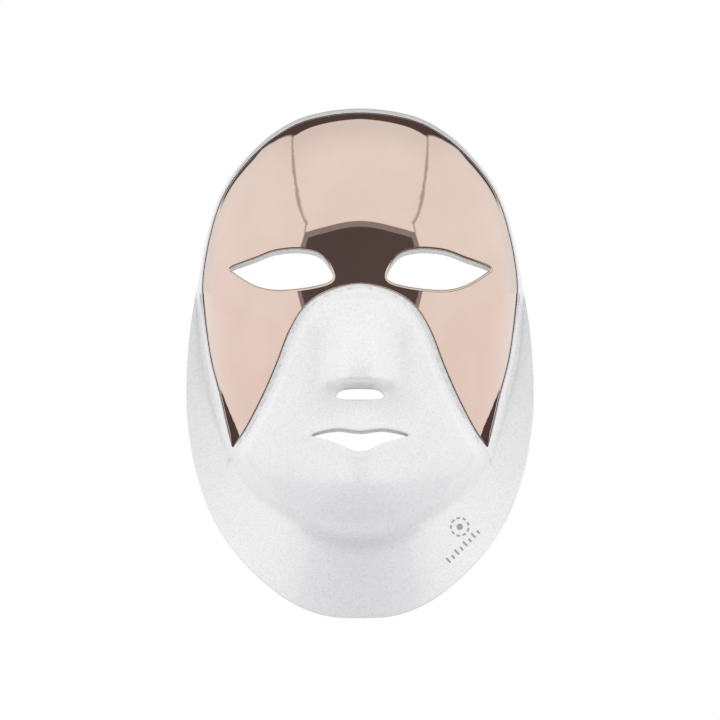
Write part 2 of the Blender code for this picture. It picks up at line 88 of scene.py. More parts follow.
EYE = (
    (68.3, 3.8), (55.3, 8.5), (44.3, 12.4), (30.6, 13.3), (20, 9.8), (14.3, -1.6), (24.4, -6.1), (43, -8),
    (55.3, -5.6), (66.3, 1),
)
NOSTRILS = ((-12.5, -64.5), (-9, -61.4), (0, -60.8), (9, -61.4), (12.5, -64.5), (9, -66.3), (-9, -66.3))
MOUTH = (
    (-25.3, -85.5), (-13, -82.2), (0, -83.3), (13, -82.2), (25.3, -85.5), (14, -89), (0, -93.9), (-14, -89),
)
FACE_RIM_Y = ((-90, 22), (-60, 40), (-30, 58), (0, 66), (27, 66), (50, 52), (70, 40), (90, 34))
SKIRT_RIM_Y = ((-90, -6), (-70, -4), (-50, 14), (-30, 36), (-8, 54), (27, 66), (60, 80), (90, 90))
# How far out the visor's side edge runs, as a share of the face's radius, so that its depth changes evenly
VISOR_SHARE = (
    (-34.4, 0.9492), (-25, 0.9385), (-10, 0.941), (5, 0.952), (20, 0.965), (35, 0.972), (50, 0.9765),
    (70, 0.9768), (90, 0.9775),
)
SKIRT_FLARE = ((-90, -0.1), (-60, 0.05), (-30, 0.25), (0, 0.4), (27, 0.8), (90, 0.8))
EYE_CUT_MARGIN = 3.2
GASKET_DROP = 2.6
GASKET_DEPTH = 15.0
BAY_HALF = 30.0
BAY_TOP = -140.0
BAY_BOTTOM = -166.0
BAY_BACK = 18.0
BAY_FRONT = 3.0
BAY_WALL = 1.8
SCREW_SUNK = 1.7
SCREW_INSET = 4.2
PORT_X = 10.0
BUTTON_X = -12.0
OUTLET_Y = 10.0
BUZZER = (21.0, -150.0)
STRAP_Z = 35.0
STRAP_HEIGHT = 20.0
STRAP_THICK = 2.4
STRAP_X = 68.5
STRAP_START = 72.0
STRAP_TURN = 122.0
PIVOT_Y = 60.0
PIN_RADIUS = 2.5
BOARD = 1.2
BOARD_INSET = 7.2
PADS = (
    ("forehead_pad", ((-32, 32), (42, 60)), 13.6, 7.0),
    ("nose_pad", ((-10.5, 10.5), (-20, -3)), 13.6, 4.5),
)
SIDES = ((-1, "left"), (1, "right"))

# Details finer than the frame
RIM_BULGE = 1.2
CHANNEL_DEPTH = 1.5  # the groove between the visor's lower edge and the cheeks
CHANNEL_WIDTH = 6.4
FINE = 1.5  # spacing of the points on the layers that show most
MEDIUM = 2.6
COARSE = 4.5
RIM_POINTS = 560
CHUNK = 4000  # places that line_distance takes at a time
EYE_ROUND = 1.35
NOSTRIL_ROUND = 0.8
MOUTH_ROUND = 0.6
CREASE_Z = -138.0  # the crease between the chin and the skirt, on the middle line
CREASE_CURVE = 0.0098
CHIN_SPREAD = 45.0
CHIN_STARTS = (-26, -14)  # below the crease, so above it where negative
CHIN_ENDS = (-6, 1)
SKIRT_STARTS = (-4, 8)
MOUTH_DROP = 1.6
GASKET_SECTION = (  # how far out from the eye's outline, and the share of the depth
    (0.3, 0.03), (0.3, 0.2), (0.3, 0.38), (0.42, 0.46), (0.42, 0.54), (0.3, 0.62), (0.3, 0.8), (0.42, 0.93),
    (0.9, 0.99), (1.7, 1.0), (2.3, 0.97), (2.5, 0.88), (2.5, 0.6), (2.5, 0.3), (2.5, 0.06), (2.3, 0.01),
    (1.6, 0.0), (0.7, 0.0),
)
LENS_PITCH = 12.5
LENS_PROFILE = (  # radius, and height over the cover
    (3.1, -0.05), (3.1, 0.12), (2.9, 0.2), (2.5, 0.22), (2.3, 0.4), (1.7, 0.68), (0.9, 0.82), (0.3, 0.86),
)
LENS_MARGIN = 3.5
BAY_AREA = ((-30, 30), (-168, -138))
BOARD_PARTS = (  # across, up, wide, tall, high
    (-13, -153, 6, 6, 0.9), (-2, -152, 4, 3.2, 0.8), (4, -156, 2, 1.2, 0.7), (9, -151, 3, 2.5, 0.9),
    (-6, -157.5, 1.6, 0.8, 0.6), (-2.5, -157.5, 1.6, 0.8, 0.6), (14, -156, 2.4, 4, 1.0),
)
LED_FIELDS = ((-38, 38, 26, 58), (-24, 24, -127, -109), (28, 64, -60, -16), (-64, -28, -60, -16))
MARK_RING = (52.9, -133.4)
MARK_BARS = (47.5, -152.5)
MARK_SLOPE = 44.0
MARK_LIFT = 0.07

# The studio
CAMERA_AWAY = 4.0
CAMERA_Z = -0.045
CAMERA_LENS = 378.0

# The room that the mirror shows. A pair is where something starts and ends to fade, in degrees to the side or
# over the front (90 is overhead and 180 behind), or in height (1 is overhead)
SEAM_WIDEST = 36.0
SEAM_NARROWEST = 22.5
SEAM_OVER = 75.0  # where the seams stand furthest apart
SEAM_CURVE = 0.0045
SEAM_EDGE = (0.5, 1.1)
SEAM_COLOUR = (0.50, 0.50, 0.50)
GAP_TOP = (9.0, 10.0)
GAP_SIDE = (-0.5, 0.5)  # past the seams
GAP_INNER_TOP = (1.0, 2.0)
GAP_INNER_SIDE = (-5, -4)
GAP_COLOUR = (0.10, 0.08, 0.08)
GAP_BORDER = (0.30, 0.28, 0.28)
TENT = (0.95, 0.95, 0.95)
TENT_LOW = (0.93, 0.86, 0.84)
TENT_FADE = (-0.7, 0.4)
TENT_TOP = (0.82, 0.83, 0.82)
TOP_OVER = (60, 110)
TOP_SIDE = (25, 50)
BACK_START = (115.0, 117.0)
BACK_SIDE = (26, 29)
BACK_END = (164.0, 170.0)
LAST_START = (147, 150)  # the back's last part, which is wider
LAST_SIDE = (30, 33)
BACK_COLOUR = (0.09, 0.065, 0.06)
UNDER_START = (-152, -146)
UNDER_END = (-110, -100)
UNDER_SIDE = (50, 60)
FLOOR_HEIGHT = (-0.52, -0.44)

# What lights the white parts
LIGHT_LOW = (0.59, 0.58, 0.64)
LIGHT_HIGH = (0.72, 0.72, 0.72)
LIGHT_FRONT = (0.84, 0.84, 0.84)
LIGHT_SIDE = (1.20, 1.20, 1.19)
LIGHT_BACK = (1.15, 1.17, 1.15)
LIGHT_SIDE_DEGREES = (24, 64)
LAMP_POWER = 2.6
LAMP_PLACE = (0.96, -0.8, 1.0)
LAMP_SIZE = (0.14, 0.34)
LAMP_AIM = (0, 0, -0.05)


def smooth_line(points, closed=False, steps=8):
    """A Catmull-Rom curve through the points."""
    points = np.array(points, float)
    if closed:
        ends = (points[-1:], points, points[:2])
    else:
        ends = (2 * points[:1] - points[1:2], points, 2 * points[-1:] - points[-2:-1])
    p = np.concatenate(ends)
    t = np.linspace(0, 1, steps, endpoint=False)[:, None]
    spans = []
    for a, b, c, d in zip(p, p[1:], p[2:], p[3:]):
        squared = (2 * a - 5 * b + 4 * c - d) * t**2
        cubed = (3 * b - a - 3 * c + d) * t**3
        spans.append(0.5 * (2 * b + (c - a) * t + squared + cubed))
    if not closed:
        spans.append(p[-2:-1])
    return np.concatenate(spans)


def even_line(line, spacing, closed=True):
    """The same line with evenly spaced points."""
    line = np.concatenate((line, line[:1])) if closed else line
    along = np.concatenate(([0], np.cumsum(np.hypot(*np.diff(line, axis=0).T))))
    count = max(8, int(along[-1] / spacing))
    at = np.linspace(0, along[-1], count, endpoint=not closed)
    return np.stack((np.interp(at, along, line[:, 0]), np.interp(at, along, line[:, 1])), axis=1)


def by_angle(pairs):
    line = smooth_line(pairs)
    return lambda angle: np.interp(np.degrees(angle), line[:, 0], line[:, 1])


def polar(x, z):
    """The angle over the horizontal, alike on both sides, and the distance, about the face's middle."""
    return np.arctan2(z - MIDDLE_Z, np.abs(x) + 1e-9), np.hypot(x, z - MIDDLE_Z)


def radius_of(half, steps=24):
    """An outline's distance from the face's middle, by angle."""
    below, above = [(-half[1][0], half[1][1])], [(-half[-2][0], half[-2][1])]
    line = smooth_line(np.concatenate((below, half, above)), steps=steps)[steps:-steps]
    angle = np.arctan2(line[:, 1] - MIDDLE_Z, line[:, 0])
    radius = np.hypot(line[:, 0], line[:, 1] - MIDDLE_Z)
    return lambda at: np.interp(at, angle, radius)


silhouette_radius = radius_of(SILHOUETTE)
face_radius = radius_of(FACE_EDGE)
face_rim = by_angle(FACE_RIM_Y)
skirt_rim = by_angle(SKIRT_RIM_Y)
skirt_flare = by_angle(SKIRT_FLARE)
visor_share = by_angle(VISOR_SHARE)


def visor_side(count):
    """The visor's right-hand side edge, from its lower point to the top of the mask."""
    angle = np.radians(np.linspace(VISOR_SHARE[0][0], VISOR_SHARE[-1][0], count))
    radius = face_radius(angle) * visor_share(angle)
    return np.stack((radius * np.cos(angle), MIDDLE_Z + radius * np.sin(angle)), axis=1)


def step(low, high, value):
    t = np.clip((value - low) / (high - low), 0, 1)
    return t * t * (3 - 2 * t)


def bump(x, z, at_x, at_z, wide, tall):
    return np.exp(-(((x - at_x) / wide) ** 2) - ((z - at_z) / tall) ** 2)


def nose(x, z):
    half_width = 9.5 + 5 * step(10, 54, -z)
    height = 19 * step(4, 50, -z) * (1 - step(54, 61.5, -z))
    return -height * np.exp(-(np.abs(x / half_width) ** 3.4))


def features(x, z):
    lips = -4.5 * bump(x, z, 0, -86, 28, 14)
    chin = -13 * bump(x, z, 0, -113, 32, 20)
    bridge = 7 * bump(x, z, 0, 1, 24, 20)
    sockets = 3.5 * bump(np.abs(x), z, 37, 2, 26, 15)
    return nose(x, z) + lips + chin + bridge + sockets


def dome(share):
    inside = np.clip(share, 0, 1)
    beyond = np.clip(share - 1, 0, None)
    return 1 - (1 - inside**DOME_FULLNESS) ** (1 / DOME_TURN) + 6 * beyond


def depth(x, z, inset=0.0):
    """Y of the surface that lies this far inside the mask's outer skin."""
    angle, radius = polar(x, z)
    front = APEX_Y + inset
    face = front + (face_rim(angle) - front) * dome(radius / (face_radius(angle) - inset))
    face = face + features(x, z) * (1 - step(0.8, 1, radius / face_radius(angle)))
    skirt = skirt_rim(angle) + skirt_flare(angle) * (silhouette_radius(angle) - radius) + inset
    skirt = skirt + 60 * step(27, 42, np.degrees(angle))
    nearness = np.clip(1 - np.abs(face - skirt) / FILLET, 0, 1)
    return np.minimum(face, skirt) - nearness**2 * FILLET / 4


def rim_shrink(angle):
    return 0.3 + 0.7 * step(0, 27, np.degrees(angle))


def line_distance(line, x, z):
    """Distance from each place to an open line."""
    a, b = line[:-1], line[1:]
    gap = b - a
    nearest = []
    for start in range(0, len(x), CHUNK):
        px = x[start:start + CHUNK, None] - a[:, 0]
        pz = z[start:start + CHUNK, None] - a[:, 1]
        t = np.clip((px * gap[:, 0] + pz * gap[:, 1]) / (gap**2).sum(axis=1), 0, 1)
        nearest.append(np.hypot(px - t * gap[:, 0], pz - t * gap[:, 1]).min(axis=1))
    return np.concatenate(nearest) if nearest else np.zeros(0)


def inside_of(outline, x, z):
    """Whether each place lies inside a closed outline."""
    a, b = outline, np.roll(outline, -1, axis=0)
    hits = np.zeros(len(x), int)
    for (ax, az), (bx, bz) in zip(a, b):
        if az == bz:
            continue
        crossing = (az > z) != (bz > z)
        hits += crossing & (x < (bx - ax) * (z - az) / (bz - az) + ax)
    return hits % 2 == 1


def arch_line(beyond=(), steps=6):
    """The visor's lower edge from the middle line outwards, level where it starts."""
    mirrored = (-VISOR_ARCH[1][0], VISOR_ARCH[1][1])
    return smooth_line((mirrored, *VISOR_ARCH, *beyond), steps=steps)[steps:]


ARCH_LINE = arch_line(beyond=((70.8, -97), (74, -107)))


def channel(x, z):
    """The groove along the visor's lower edge, which runs on a little past its points."""
    away = line_distance(ARCH_LINE, np.abs(x), z)
    below = ~inside_of(np.concatenate((ARCH_LINE, [(200, -107), (200, 200), (0, 200)])), np.abs(x), z)
    lip = step(0.8, 2.4, away)
    fold = 1 - step(CHANNEL_WIDTH - 1.8, CHANNEL_WIDTH + 0.8, away)
    return CHANNEL_DEPTH * lip * fold * below * step(-107, -93, z)


def lips(x, z):
    """A soft ridge round the mouth opening."""
    away = line_distance(MOUTH_RING, x, z)
    upper = step(-88, -83, z)
    return -0.7 * np.exp(-(((away - 2.2) / 1.5) ** 2)) * (0.35 + 0.65 * upper)


MOUTH_RING = smooth_line((*MOUTH, MOUTH[0]), steps=6)


def skin(x, z, inset):
    """The outer skin with its finest details."""
    return depth(x, z, inset) + channel(x, z) + lips(x, z)


def local_inset(inset, share, folded, angle):
    """The inset at a share of the way to the rim, for insets that vary with the place."""
    if not callable(inset):
        return inset
    rough = share * silhouette_radius(folded)
    return inset(rough * np.cos(angle), MIDDLE_Z + rough * np.sin(angle), share)


def place(phi, angle, inset, surface):
    """Points of a layer: phi runs from 0 in the middle to a quarter turn at the rim."""
    folded = np.arcsin(np.clip(np.sin(angle), -1, 1))
    by = local_inset(inset, np.sin(phi), folded, angle)
    radius = np.sin(phi) * (silhouette_radius(folded) - by * rim_shrink(folded))
    x = radius * np.cos(angle)
    z = MIDDLE_Z + radius * np.sin(angle)
    return np.stack((x, surface(x, z, by), z), axis=1)


def to_disc(line, inset):
    """A line in x and z, on the flat disc where the rim is a circle."""
    x, z = line[:, 0], line[:, 1] - MIDDLE_Z
    angle = np.arctan2(z, x)
    folded = np.arcsin(np.clip(np.sin(angle), -1, 1))
    share = np.hypot(x, z) / silhouette_radius(folded)
    for _ in range(12):
        by = local_inset(inset, np.clip(share, 0, 1), folded, angle)
        share = np.hypot(x, z) / (silhouette_radius(folded) - by * rim_shrink(folded))
    phi = np.arcsin(np.clip(share, 0, 1))
    return np.stack((phi * np.cos(angle), phi * np.sin(angle)), axis=1)


def grown(line, by):
    """A closed line moved outwards by a distance, or by one distance for each point."""
    by = np.reshape(by, (-1, 1)) * np.ones((len(line), 1))
    along = np.roll(line, -1, axis=0) - np.roll(line, 1, axis=0)
    normal = np.stack((along[:, 1], -along[:, 0]), axis=1)
    normal /= np.linalg.norm(normal, axis=1)[:, None] + 1e-12
    area = (line[:, 0] * np.roll(line[:, 1], -1) - np.roll(line[:, 0], -1) * line[:, 1]).sum()
    return line + normal * (by if area > 0 else -by)


class Form:
    """Points, faces and known normals of one piece, gathered bit by bit."""

    def __init__(self):
        self.points = []
        self.faces = []
        self.normals = {}

    def add(self, points):
        start = len(self.points)
        self.points += [tuple(p) for p in points]
        return list(range(start, len(self.points)))

    def places(self, row):
        return np.array([self.points[i] for i in row])

    def join_all(self, rows, flip=False, capped=False):
        """Quads between each row and the next, and a face in the first and the last if capped."""
        for first, second in zip(rows, rows[1:]):
            self.join(first, second, flip)
        if capped:
            self.faces += [tuple(rows[0]), tuple(rows[-1])]

    def join(self, first, second, flip=False):
        """Quads between two closed rows of equal length."""
        count = len(first)
        for i in range(count):
            j = (i + 1) % count
            quad = (first[i], first[j], second[j], second[i])
            self.faces.append(quad[::-1] if flip else quad)

    def object(self, name, *materials):
        mesh = bpy.data.meshes.new(name)
        mesh.from_pydata((np.array(self.points) * MM).tolist(), [], self.faces)
        mesh.validate()
        mesh.shade_smooth()
        mesh.update()
        normals = np.empty(len(mesh.vertices) * 3)
        mesh.vertices.foreach_get("normal", normals)
        normals = normals.reshape(-1, 3)
        for index, normal in self.normals.items():
            normals[index] = normal
        if self.normals:
            mesh.normals_split_custom_set_from_vertices(normals.tolist())
        for m in materials:
            mesh.materials.append(m)
        return linked(name, mesh)


def linked(name, data):
    """A new object in the scene."""
    made = bpy.data.objects.new(name, data)
    bpy.context.scene.collection.objects.link(made)
    return made


def around(count):
    """Angles of evenly spaced points on a circle."""
    return np.linspace(0, 2 * math.pi, count, endpoint=False)


def between(lines, u, v):
    """Whether each place lies inside the first line and outside the others."""
    keep = inside_of(lines[0], u, v)
    for hole in lines[1:]:
        keep &= ~inside_of(hole, u, v)
    return keep


def sheet(form, outer, holes, inset, surface, spacing, outward=-1.0):
    """Adds one trimmed layer, with an outer line (None for the whole mask) and holes, in x and z.

    Returns the point numbers of the outer line and of each hole."""
    fine = spacing / 100
    if outer is None:
        turn = around(RIM_POINTS)
        lines = [np.stack((np.cos(turn), np.sin(turn)), axis=1) * math.pi / 2]
    else:
        lines = [to_disc(outer, inset)]
    lines += [to_disc(hole, inset) for hole in holes]
    rows = np.arange(-math.pi / 2, math.pi / 2 + fine, fine * math.sqrt(3) / 2)
    row = np.arange(-math.pi / 2, math.pi / 2, fine)
    u = np.concatenate([row + fine / 2 * (i % 2) for i in range(len(rows))])
    v = np.repeat(rows, len(row))
    keep = between(lines, u, v)
    u, v = u[keep], v[keep]
    for line in lines:
        closed = np.concatenate((line, line[:1]))
        near = line_distance(closed, u, v) > fine * 0.55
        u, v = u[near], v[near]
    loops = []
    corners = []
    for line in lines:
        loops.append(list(range(len(corners), len(corners) + len(line))))
        corners += [Vector(p) for p in line]
    edges = [(a, b) for loop in loops for a, b in zip(loop, loop[1:] + loop[:1])]
    corners += [Vector(p) for p in zip(u, v)]
    result = delaunay_2d_cdt(corners, edges, [], 0, 1e-7, True)
    flat = np.array([tuple(p) for p in result[0]])
    faces = np.array(result[2])
    faces = faces[between(lines, *flat[faces].mean(axis=1).T)]
    renamed = {index: new for new, old in enumerate(result[3]) for index in old}
    phi = np.minimum(np.hypot(flat[:, 0], flat[:, 1]), math.pi / 2)
    angle = np.arctan2(flat[:, 1], flat[:, 0])
    points = place(phi, angle, inset, surface)
    normals = layer_normals(flat, inset, surface)
    numbers = form.add(points)
    base = numbers[0]
    turned_in = outward < 0
    for a, b, c in faces:
        form.faces.append((base + a, base + b, base + c) if turned_in else (base + c, base + b, base + a))
    for i in range(len(points)):
        form.normals[base + i] = normals[i] if turned_in else -normals[i]
    return [[base + renamed[i] for i in loop] for loop in loops]


def layer_normals(flat, inset, surface):
    """Normals towards the front, from the layer's own slope."""
    reach = 0.0015
    length = np.hypot(flat[:, 0], flat[:, 1])
    within = flat * np.minimum(1, (math.pi / 2 - 4 * reach) / np.maximum(length, 1e-9))[:, None]

    def at(shift):
        moved = within + shift
        return place(np.hypot(moved[:, 0], moved[:, 1]), np.arctan2(moved[:, 1], moved[:, 0]), inset, surface)

    du = at((reach, 0)) - at((-reach, 0))
    dv = at((0, reach)) - at((0, -reach))
    normal = np.cross(du, dv)
    normal /= np.linalg.norm(normal, axis=1)[:, None] + 1e-12
    return normal


def visor_line(by=0.0, spacing=0.9):
    """The visor's outline, moved outwards by a distance."""
    right = np.concatenate((arch_line(steps=12), visor_side(240)[1:]))
    line = even_line(np.concatenate((right, right[1:-1][::-1] * (-1, 1))), spacing)
    return grown(line, by) if by else line


def opening_line(points, by=0.0, spacing=0.6):
    """The outline of an opening, moved outwards by a distance."""
    line = even_line(smooth_line(points, closed=True, steps=12), spacing)
    return grown(line, by) if by else line


def eye_line(side, by=0.0, spacing=0.7):
    return opening_line(EYE, by, spacing) * (side, 1)


def on_surface(line, surface, inset):
    """The places of a line in x and z, on a surface."""
    x, z = line[:, 0], line[:, 1]
    return np.stack((x, surface(x, z, inset), z), axis=1)


def edge_rows(form, first, line, surface, radius, down_to, out=1.0, flip=False, steps=5):
    """A rounded edge: rows that turn from the surface into a wall along the line."""
    rows = [first]
    for k in range(1, steps + 1):
        turn = k / steps * math.pi / 2
        moved = grown(line, out * radius * math.sin(turn))
        inset = radius * (1 - math.cos(turn))
        rows.append(form.add(on_surface(moved, surface, inset)))
    rows.append(form.add(on_surface(grown(line, out * radius), surface, down_to)))
    form.join_all(rows, flip)
    return rows[-1]


def ride(piece, body, *nodes):
    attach(piece, body)
    if nodes:
        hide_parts(*nodes)
    return piece


# Materials


def shader(name, colour, roughness, metallic=0.0, **more):
    made = bpy.data.materials.new(name)
    made.use_nodes = True
    principled = made.node_tree.nodes["Principled BSDF"]
    principled.inputs["Base Color"].default_value = (*colour, 1)
    principled.inputs["Roughness"].default_value = roughness
    principled.inputs["Metallic"].default_value = metallic
    for key, value in more.items():
        principled.inputs[key.replace("_", " ")].default_value = value
    return made, made.node_tree, principled


def noise(tree, scale, detail=2.0, kind="ShaderNodeTexNoise"):
    """A texture laid over the object's own coordinates. The scale is in features a metre."""
    where = tree.nodes.new("ShaderNodeTexCoord")
    made = tree.nodes.new(kind)
    made.inputs["Scale"].default_value = scale
    if "Detail" in made.inputs:
        made.inputs["Detail"].default_value = detail
    tree.links.new(where.outputs["Object"], made.inputs["Vector"])
    return made


def ramp(tree, source, low, high, start, end):
    """A colour ramp from one colour to another between two input values."""
    made = tree.nodes.new("ShaderNodeValToRGB")
    made.color_ramp.elements[0].position = start
    made.color_ramp.elements[1].position = end
    made.color_ramp.elements[0].color = (*low, 1)
    made.color_ramp.elements[1].color = (*high, 1)
    tree.links.new(source, made.inputs["Fac"])
    return made.outputs["Color"]


def vary(tree, principled, source, low, high, start=0.35, end=0.65):
    tree.links.new(ramp(tree, source, low, high, start, end), principled.inputs["Base Color"])


def vary_roughness(tree, principled, source, low, high):
    made = tree.nodes.new("ShaderNodeMapRange")
    made.inputs["To Min"].default_value = low
    made.inputs["To Max"].default_value = high
    tree.links.new(source, made.inputs["Value"])
    tree.links.new(made.outputs["Result"], principled.inputs["Roughness"])


def relief(tree, principled, source, height, strength=1.0):
    bump_node = tree.nodes.new("ShaderNodeBump")
    bump_node.inputs["Distance"].default_value = height
    bump_node.inputs["Strength"].default_value = strength
    tree.links.new(source, bump_node.inputs["Height"])
    tree.links.new(bump_node.outputs["Normal"], principled.inputs["Normal"])


def finish(name, colour, roughness, grain, tones, rough=None, bumps=None, metallic=0.0, **more):
    """A material that follows a texture.

    grain is the texture's scale, detail and kind, tones the two colours and the values where they start and
    end, rough the range of the roughness, and bumps the height and strength of the relief."""
    made, tree, principled = shader(name, colour, roughness, metallic, **more)
    texture = noise(tree, *grain)
    source = texture.outputs["Fac"]
    vary(tree, principled, source, *tones)
    if rough:
        vary_roughness(tree, principled, source, *rough)
    if bumps:
        relief(tree, principled, source, *bumps)
    return made, texture


def pearl_paint():
    """White lacquer with a fine pearl flake under a clear coat."""
    made, tree, principled = shader(
        "pearl_paint", (0.84, 0.84, 0.86), 0.32, Coat_Weight=0.7, Coat_Roughness=0.05,
    )
    flake = noise(tree, 1500, 1.0, "ShaderNodeTexVoronoi")
    vary(tree, principled, flake.outputs["Color"], (0.76, 0.76, 0.775), (0.90, 0.90, 0.905), 0.1, 0.9)
    cloud = noise(tree, 60, 3.0)
    vary_roughness(tree, principled, cloud.outputs["Fac"], 0.26, 0.38)
    relief(tree, principled, flake.outputs["Distance"], 0.00002, 0.12)
    return made


def rose_mirror():
    """Vacuum-metallised rose gold: a clean mirror with the faintest haze and flow lines."""
    return finish(
        "rose_mirror", (0.80, 0.63, 0.55), 0.035, (35, 4.0), ((0.785, 0.615, 0.535), (0.815, 0.65, 0.57)),
        (0.025, 0.055), metallic=1.0, Coat_Weight=0.25, Coat_Roughness=0.02,
    )[0]


def milky_cover():
    """The wearer's side: a milky moulding with a fine satin texture."""
    return finish(
        "milky_cover", (0.86, 0.85, 0.86), 0.3, (700, 3.0), ((0.83, 0.82, 0.84), (0.89, 0.88, 0.89)),
        (0.24, 0.36), (0.00004, 0.25),
        Transmission_Weight=0.25, IOR=1.49, Coat_Weight=0.3, Coat_Roughness=0.12,
    )[0]


def silicone():
    """Soft white silicone rubber: dull sheen, a trace of dust and mould texture."""
    return finish(
        "silicone", (0.83, 0.84, 0.81), 0.5, (1200, 3.0), ((0.79, 0.80, 0.775), (0.86, 0.87, 0.845)),
        (0.42, 0.6), (0.00006, 0.35), Sheen_Weight=0.25, Sheen_Roughness=0.5,
    )[0]


def smooth_plastic(name, colour, roughness):
    """Injection-moulded plastic with a slight satin grain."""
    low = tuple(c * 0.94 for c in colour)
    high = tuple(min(1, c * 1.05) for c in colour)
    rough = (roughness * 0.85, roughness * 1.2)
    return finish(name, colour, roughness, (1500, 2.0), (low, high), rough, (0.00003, 0.3))[0]


def bright_steel():
    made, lines = finish(
        "bright_steel", (0.62, 0.62, 0.64), 0.25, (500, 4.0), ((0.56, 0.56, 0.58), (0.68, 0.68, 0.7)),
        (0.18, 0.36), metallic=1.0,
    )
    lines.inputs["Distortion"].default_value = 0.6
    return made


def lens_glass(name, colour):
    low = tuple(c * 0.9 for c in colour)
    return finish(name, colour, 0.08, (400, 1.0), (low, colour), Transmission_Weight=0.6, IOR=1.5)[0]


def flat_cable():
    """Ribbon cable: pale film over parallel copper tracks."""
    made, tracks = finish(
        "flat_cable", (0.80, 0.79, 0.74), 0.35, (260, 1.0, "ShaderNodeTexWave"),
        ((0.62, 0.52, 0.42), (0.84, 0.83, 0.78), 0.2, 0.5), bumps=(0.00005, 0.4), Coat_Weight=0.3,
    )
    tracks.bands_direction = "X"
    return made


def battery_foil():
    """The pouch cell's crinkled foil."""
    return finish(
        "battery_foil", (0.62, 0.63, 0.66), 0.28, (220, 5.0), ((0.55, 0.56, 0.6), (0.7, 0.71, 0.74)),
        (0.2, 0.38), (0.0003, 0.6), metallic=0.85,
    )[0]


def circuit_board():
    """Green solder mask with fine tracks under it."""
    made, tracks = finish(
        "circuit_board", (0.02, 0.2, 0.1), 0.3, (420, 0.0, "ShaderNodeTexBrick"),
        ((0.015, 0.15, 0.07), (0.04, 0.28, 0.14), 0.1, 0.9), bumps=(0.00006, 0.5),
        Coat_Weight=0.5, Coat_Roughness=0.1,
    )
    for part, value in (("Color1", 0), ("Color2", 0), ("Mortar", 1)):
        tracks.inputs[part].default_value = (value, value, value, 1)
    return made


def printed_grey():
    tones = (0.33, 0.34, 0.37), (0.42, 0.43, 0.46)
    return finish("printed_grey", (0.30, 0.30, 0.34), 0.35, (2500, 2.0), tones, metallic=0.3)[0]


# The mask's shells


def near_tip(line):
    """Close to 0 at the visor's two points and 1 from 9 mm on. Edges are rounded less at the points, so that
    they don't cross."""
    tip_x, tip_z = VISOR_ARCH[-1]
    away = np.hypot(np.abs(line[:, 0]) - tip_x, line[:, 1] - tip_z)
    return 0.06 + 0.94 * step(0, 9, away)


def dropped(line, by):
    return line - (0, by)


def rim_rows(form, outer, inner, bulge=RIM_BULGE, steps=6):
    """A rounded rim between two layers."""
    a, b = form.places(outer), form.places(inner)
    across = (a - b) / 2
    middle = (a + b) / 2
    along = np.roll(a, -1, axis=0) - np.roll(a, 1, axis=0)
    out = np.cross(along, across)
    out /= np.linalg.norm(out, axis=1)[:, None]
    turn = around(RIM_POINTS)
    within = place(np.full(RIM_POINTS, math.pi / 2 - 0.04), turn, 0.0, depth)
    on_rim = place(np.full(RIM_POINTS, math.pi / 2), turn, 0.0, depth)
    outwards = np.sign(((on_rim - within) * out).sum(axis=1))[:, None]
    rows = [outer]
    for k in range(1, steps):
        turn = k / steps * math.pi
        rows.append(form.add(middle + across * math.cos(turn) + out * outwards * bulge * math.sin(turn)))
    form.join_all([*rows, inner], flip=True)


def opening_walls(form, loop, line, back_loop, surface, radius, floor):
    """The rounded edge and wall of an opening, joined to its loop on the inner layer."""
    last = edge_rows(form, loop, line, surface, radius, floor, out=-1.0, flip=True)
    near_back = form.add(0.1 * form.places(last) + 0.9 * form.places(back_loop))
    form.join_all([last, near_back, back_loop], flip=True)


def shell_piece(paint):
    """The outer shell: skin, recess under the visor, inner face, rim and the walls of its openings."""
    form = Form()
    base = visor_line(GAP)
    lip = 0.55 * near_tip(base)
    visor_edge = grown(base, lip)
    nostrils = opening_line(NOSTRILS) + (0, 0.7)
    mouth = opening_line(MOUTH) + (0, 1.0)
    nostril_edge = grown(nostrils, NOSTRIL_ROUND)
    mouth_edge = grown(mouth, MOUTH_ROUND)
    rim, visor_hole, nostril_hole, mouth_hole = sheet(
        form, None, [visor_edge, nostril_edge, mouth_edge], 0.0, skin, FINE,
    )
    reshade(form, soften_chin)
    floor_inset = PLATE + GAP
    edge_rows(form, visor_hole, visor_edge, skin, lip, floor_inset, out=-1.0, flip=True, steps=4)
    recess = grown(visor_edge, -lip)
    eyes = [eye_line(side, EYE_CUT_MARGIN, 1.4) for side in (-1, 1)]
    floor = sheet(form, recess, eyes, floor_inset, depth, COARSE)
    back_nostrils = dropped(grown(nostril_edge, -NOSTRIL_ROUND), 0.2)
    back_mouth = dropped(grown(mouth_edge, -MOUTH_ROUND), MOUTH_DROP)
    back = sheet(form, None, [*eyes, back_nostrils, back_mouth], SHELL, depth, COARSE, outward=1.0)
    for front_loop, back_loop in zip(floor[1:], back[1:3]):
        form.join(front_loop, back_loop, flip=True)
    opening_walls(form, nostril_hole, nostril_edge, back[3], skin, NOSTRIL_ROUND, 1.4)
    opening_walls(form, mouth_hole, mouth_edge, back[4], skin, MOUTH_ROUND, 1.0)
    rim_rows(form, rim, back[0])
    return ride(form.object("shell_skin", paint), "mask", "outer_shell")


def reshade(form, change):
    """Gives the known normals of a layer the directions that change works out from x, z and the normal."""
    for index, normal in form.normals.items():
        x, _, z = form.points[index]
        normal[:] = change(x, z, normal)
        normal /= np.linalg.norm(normal)


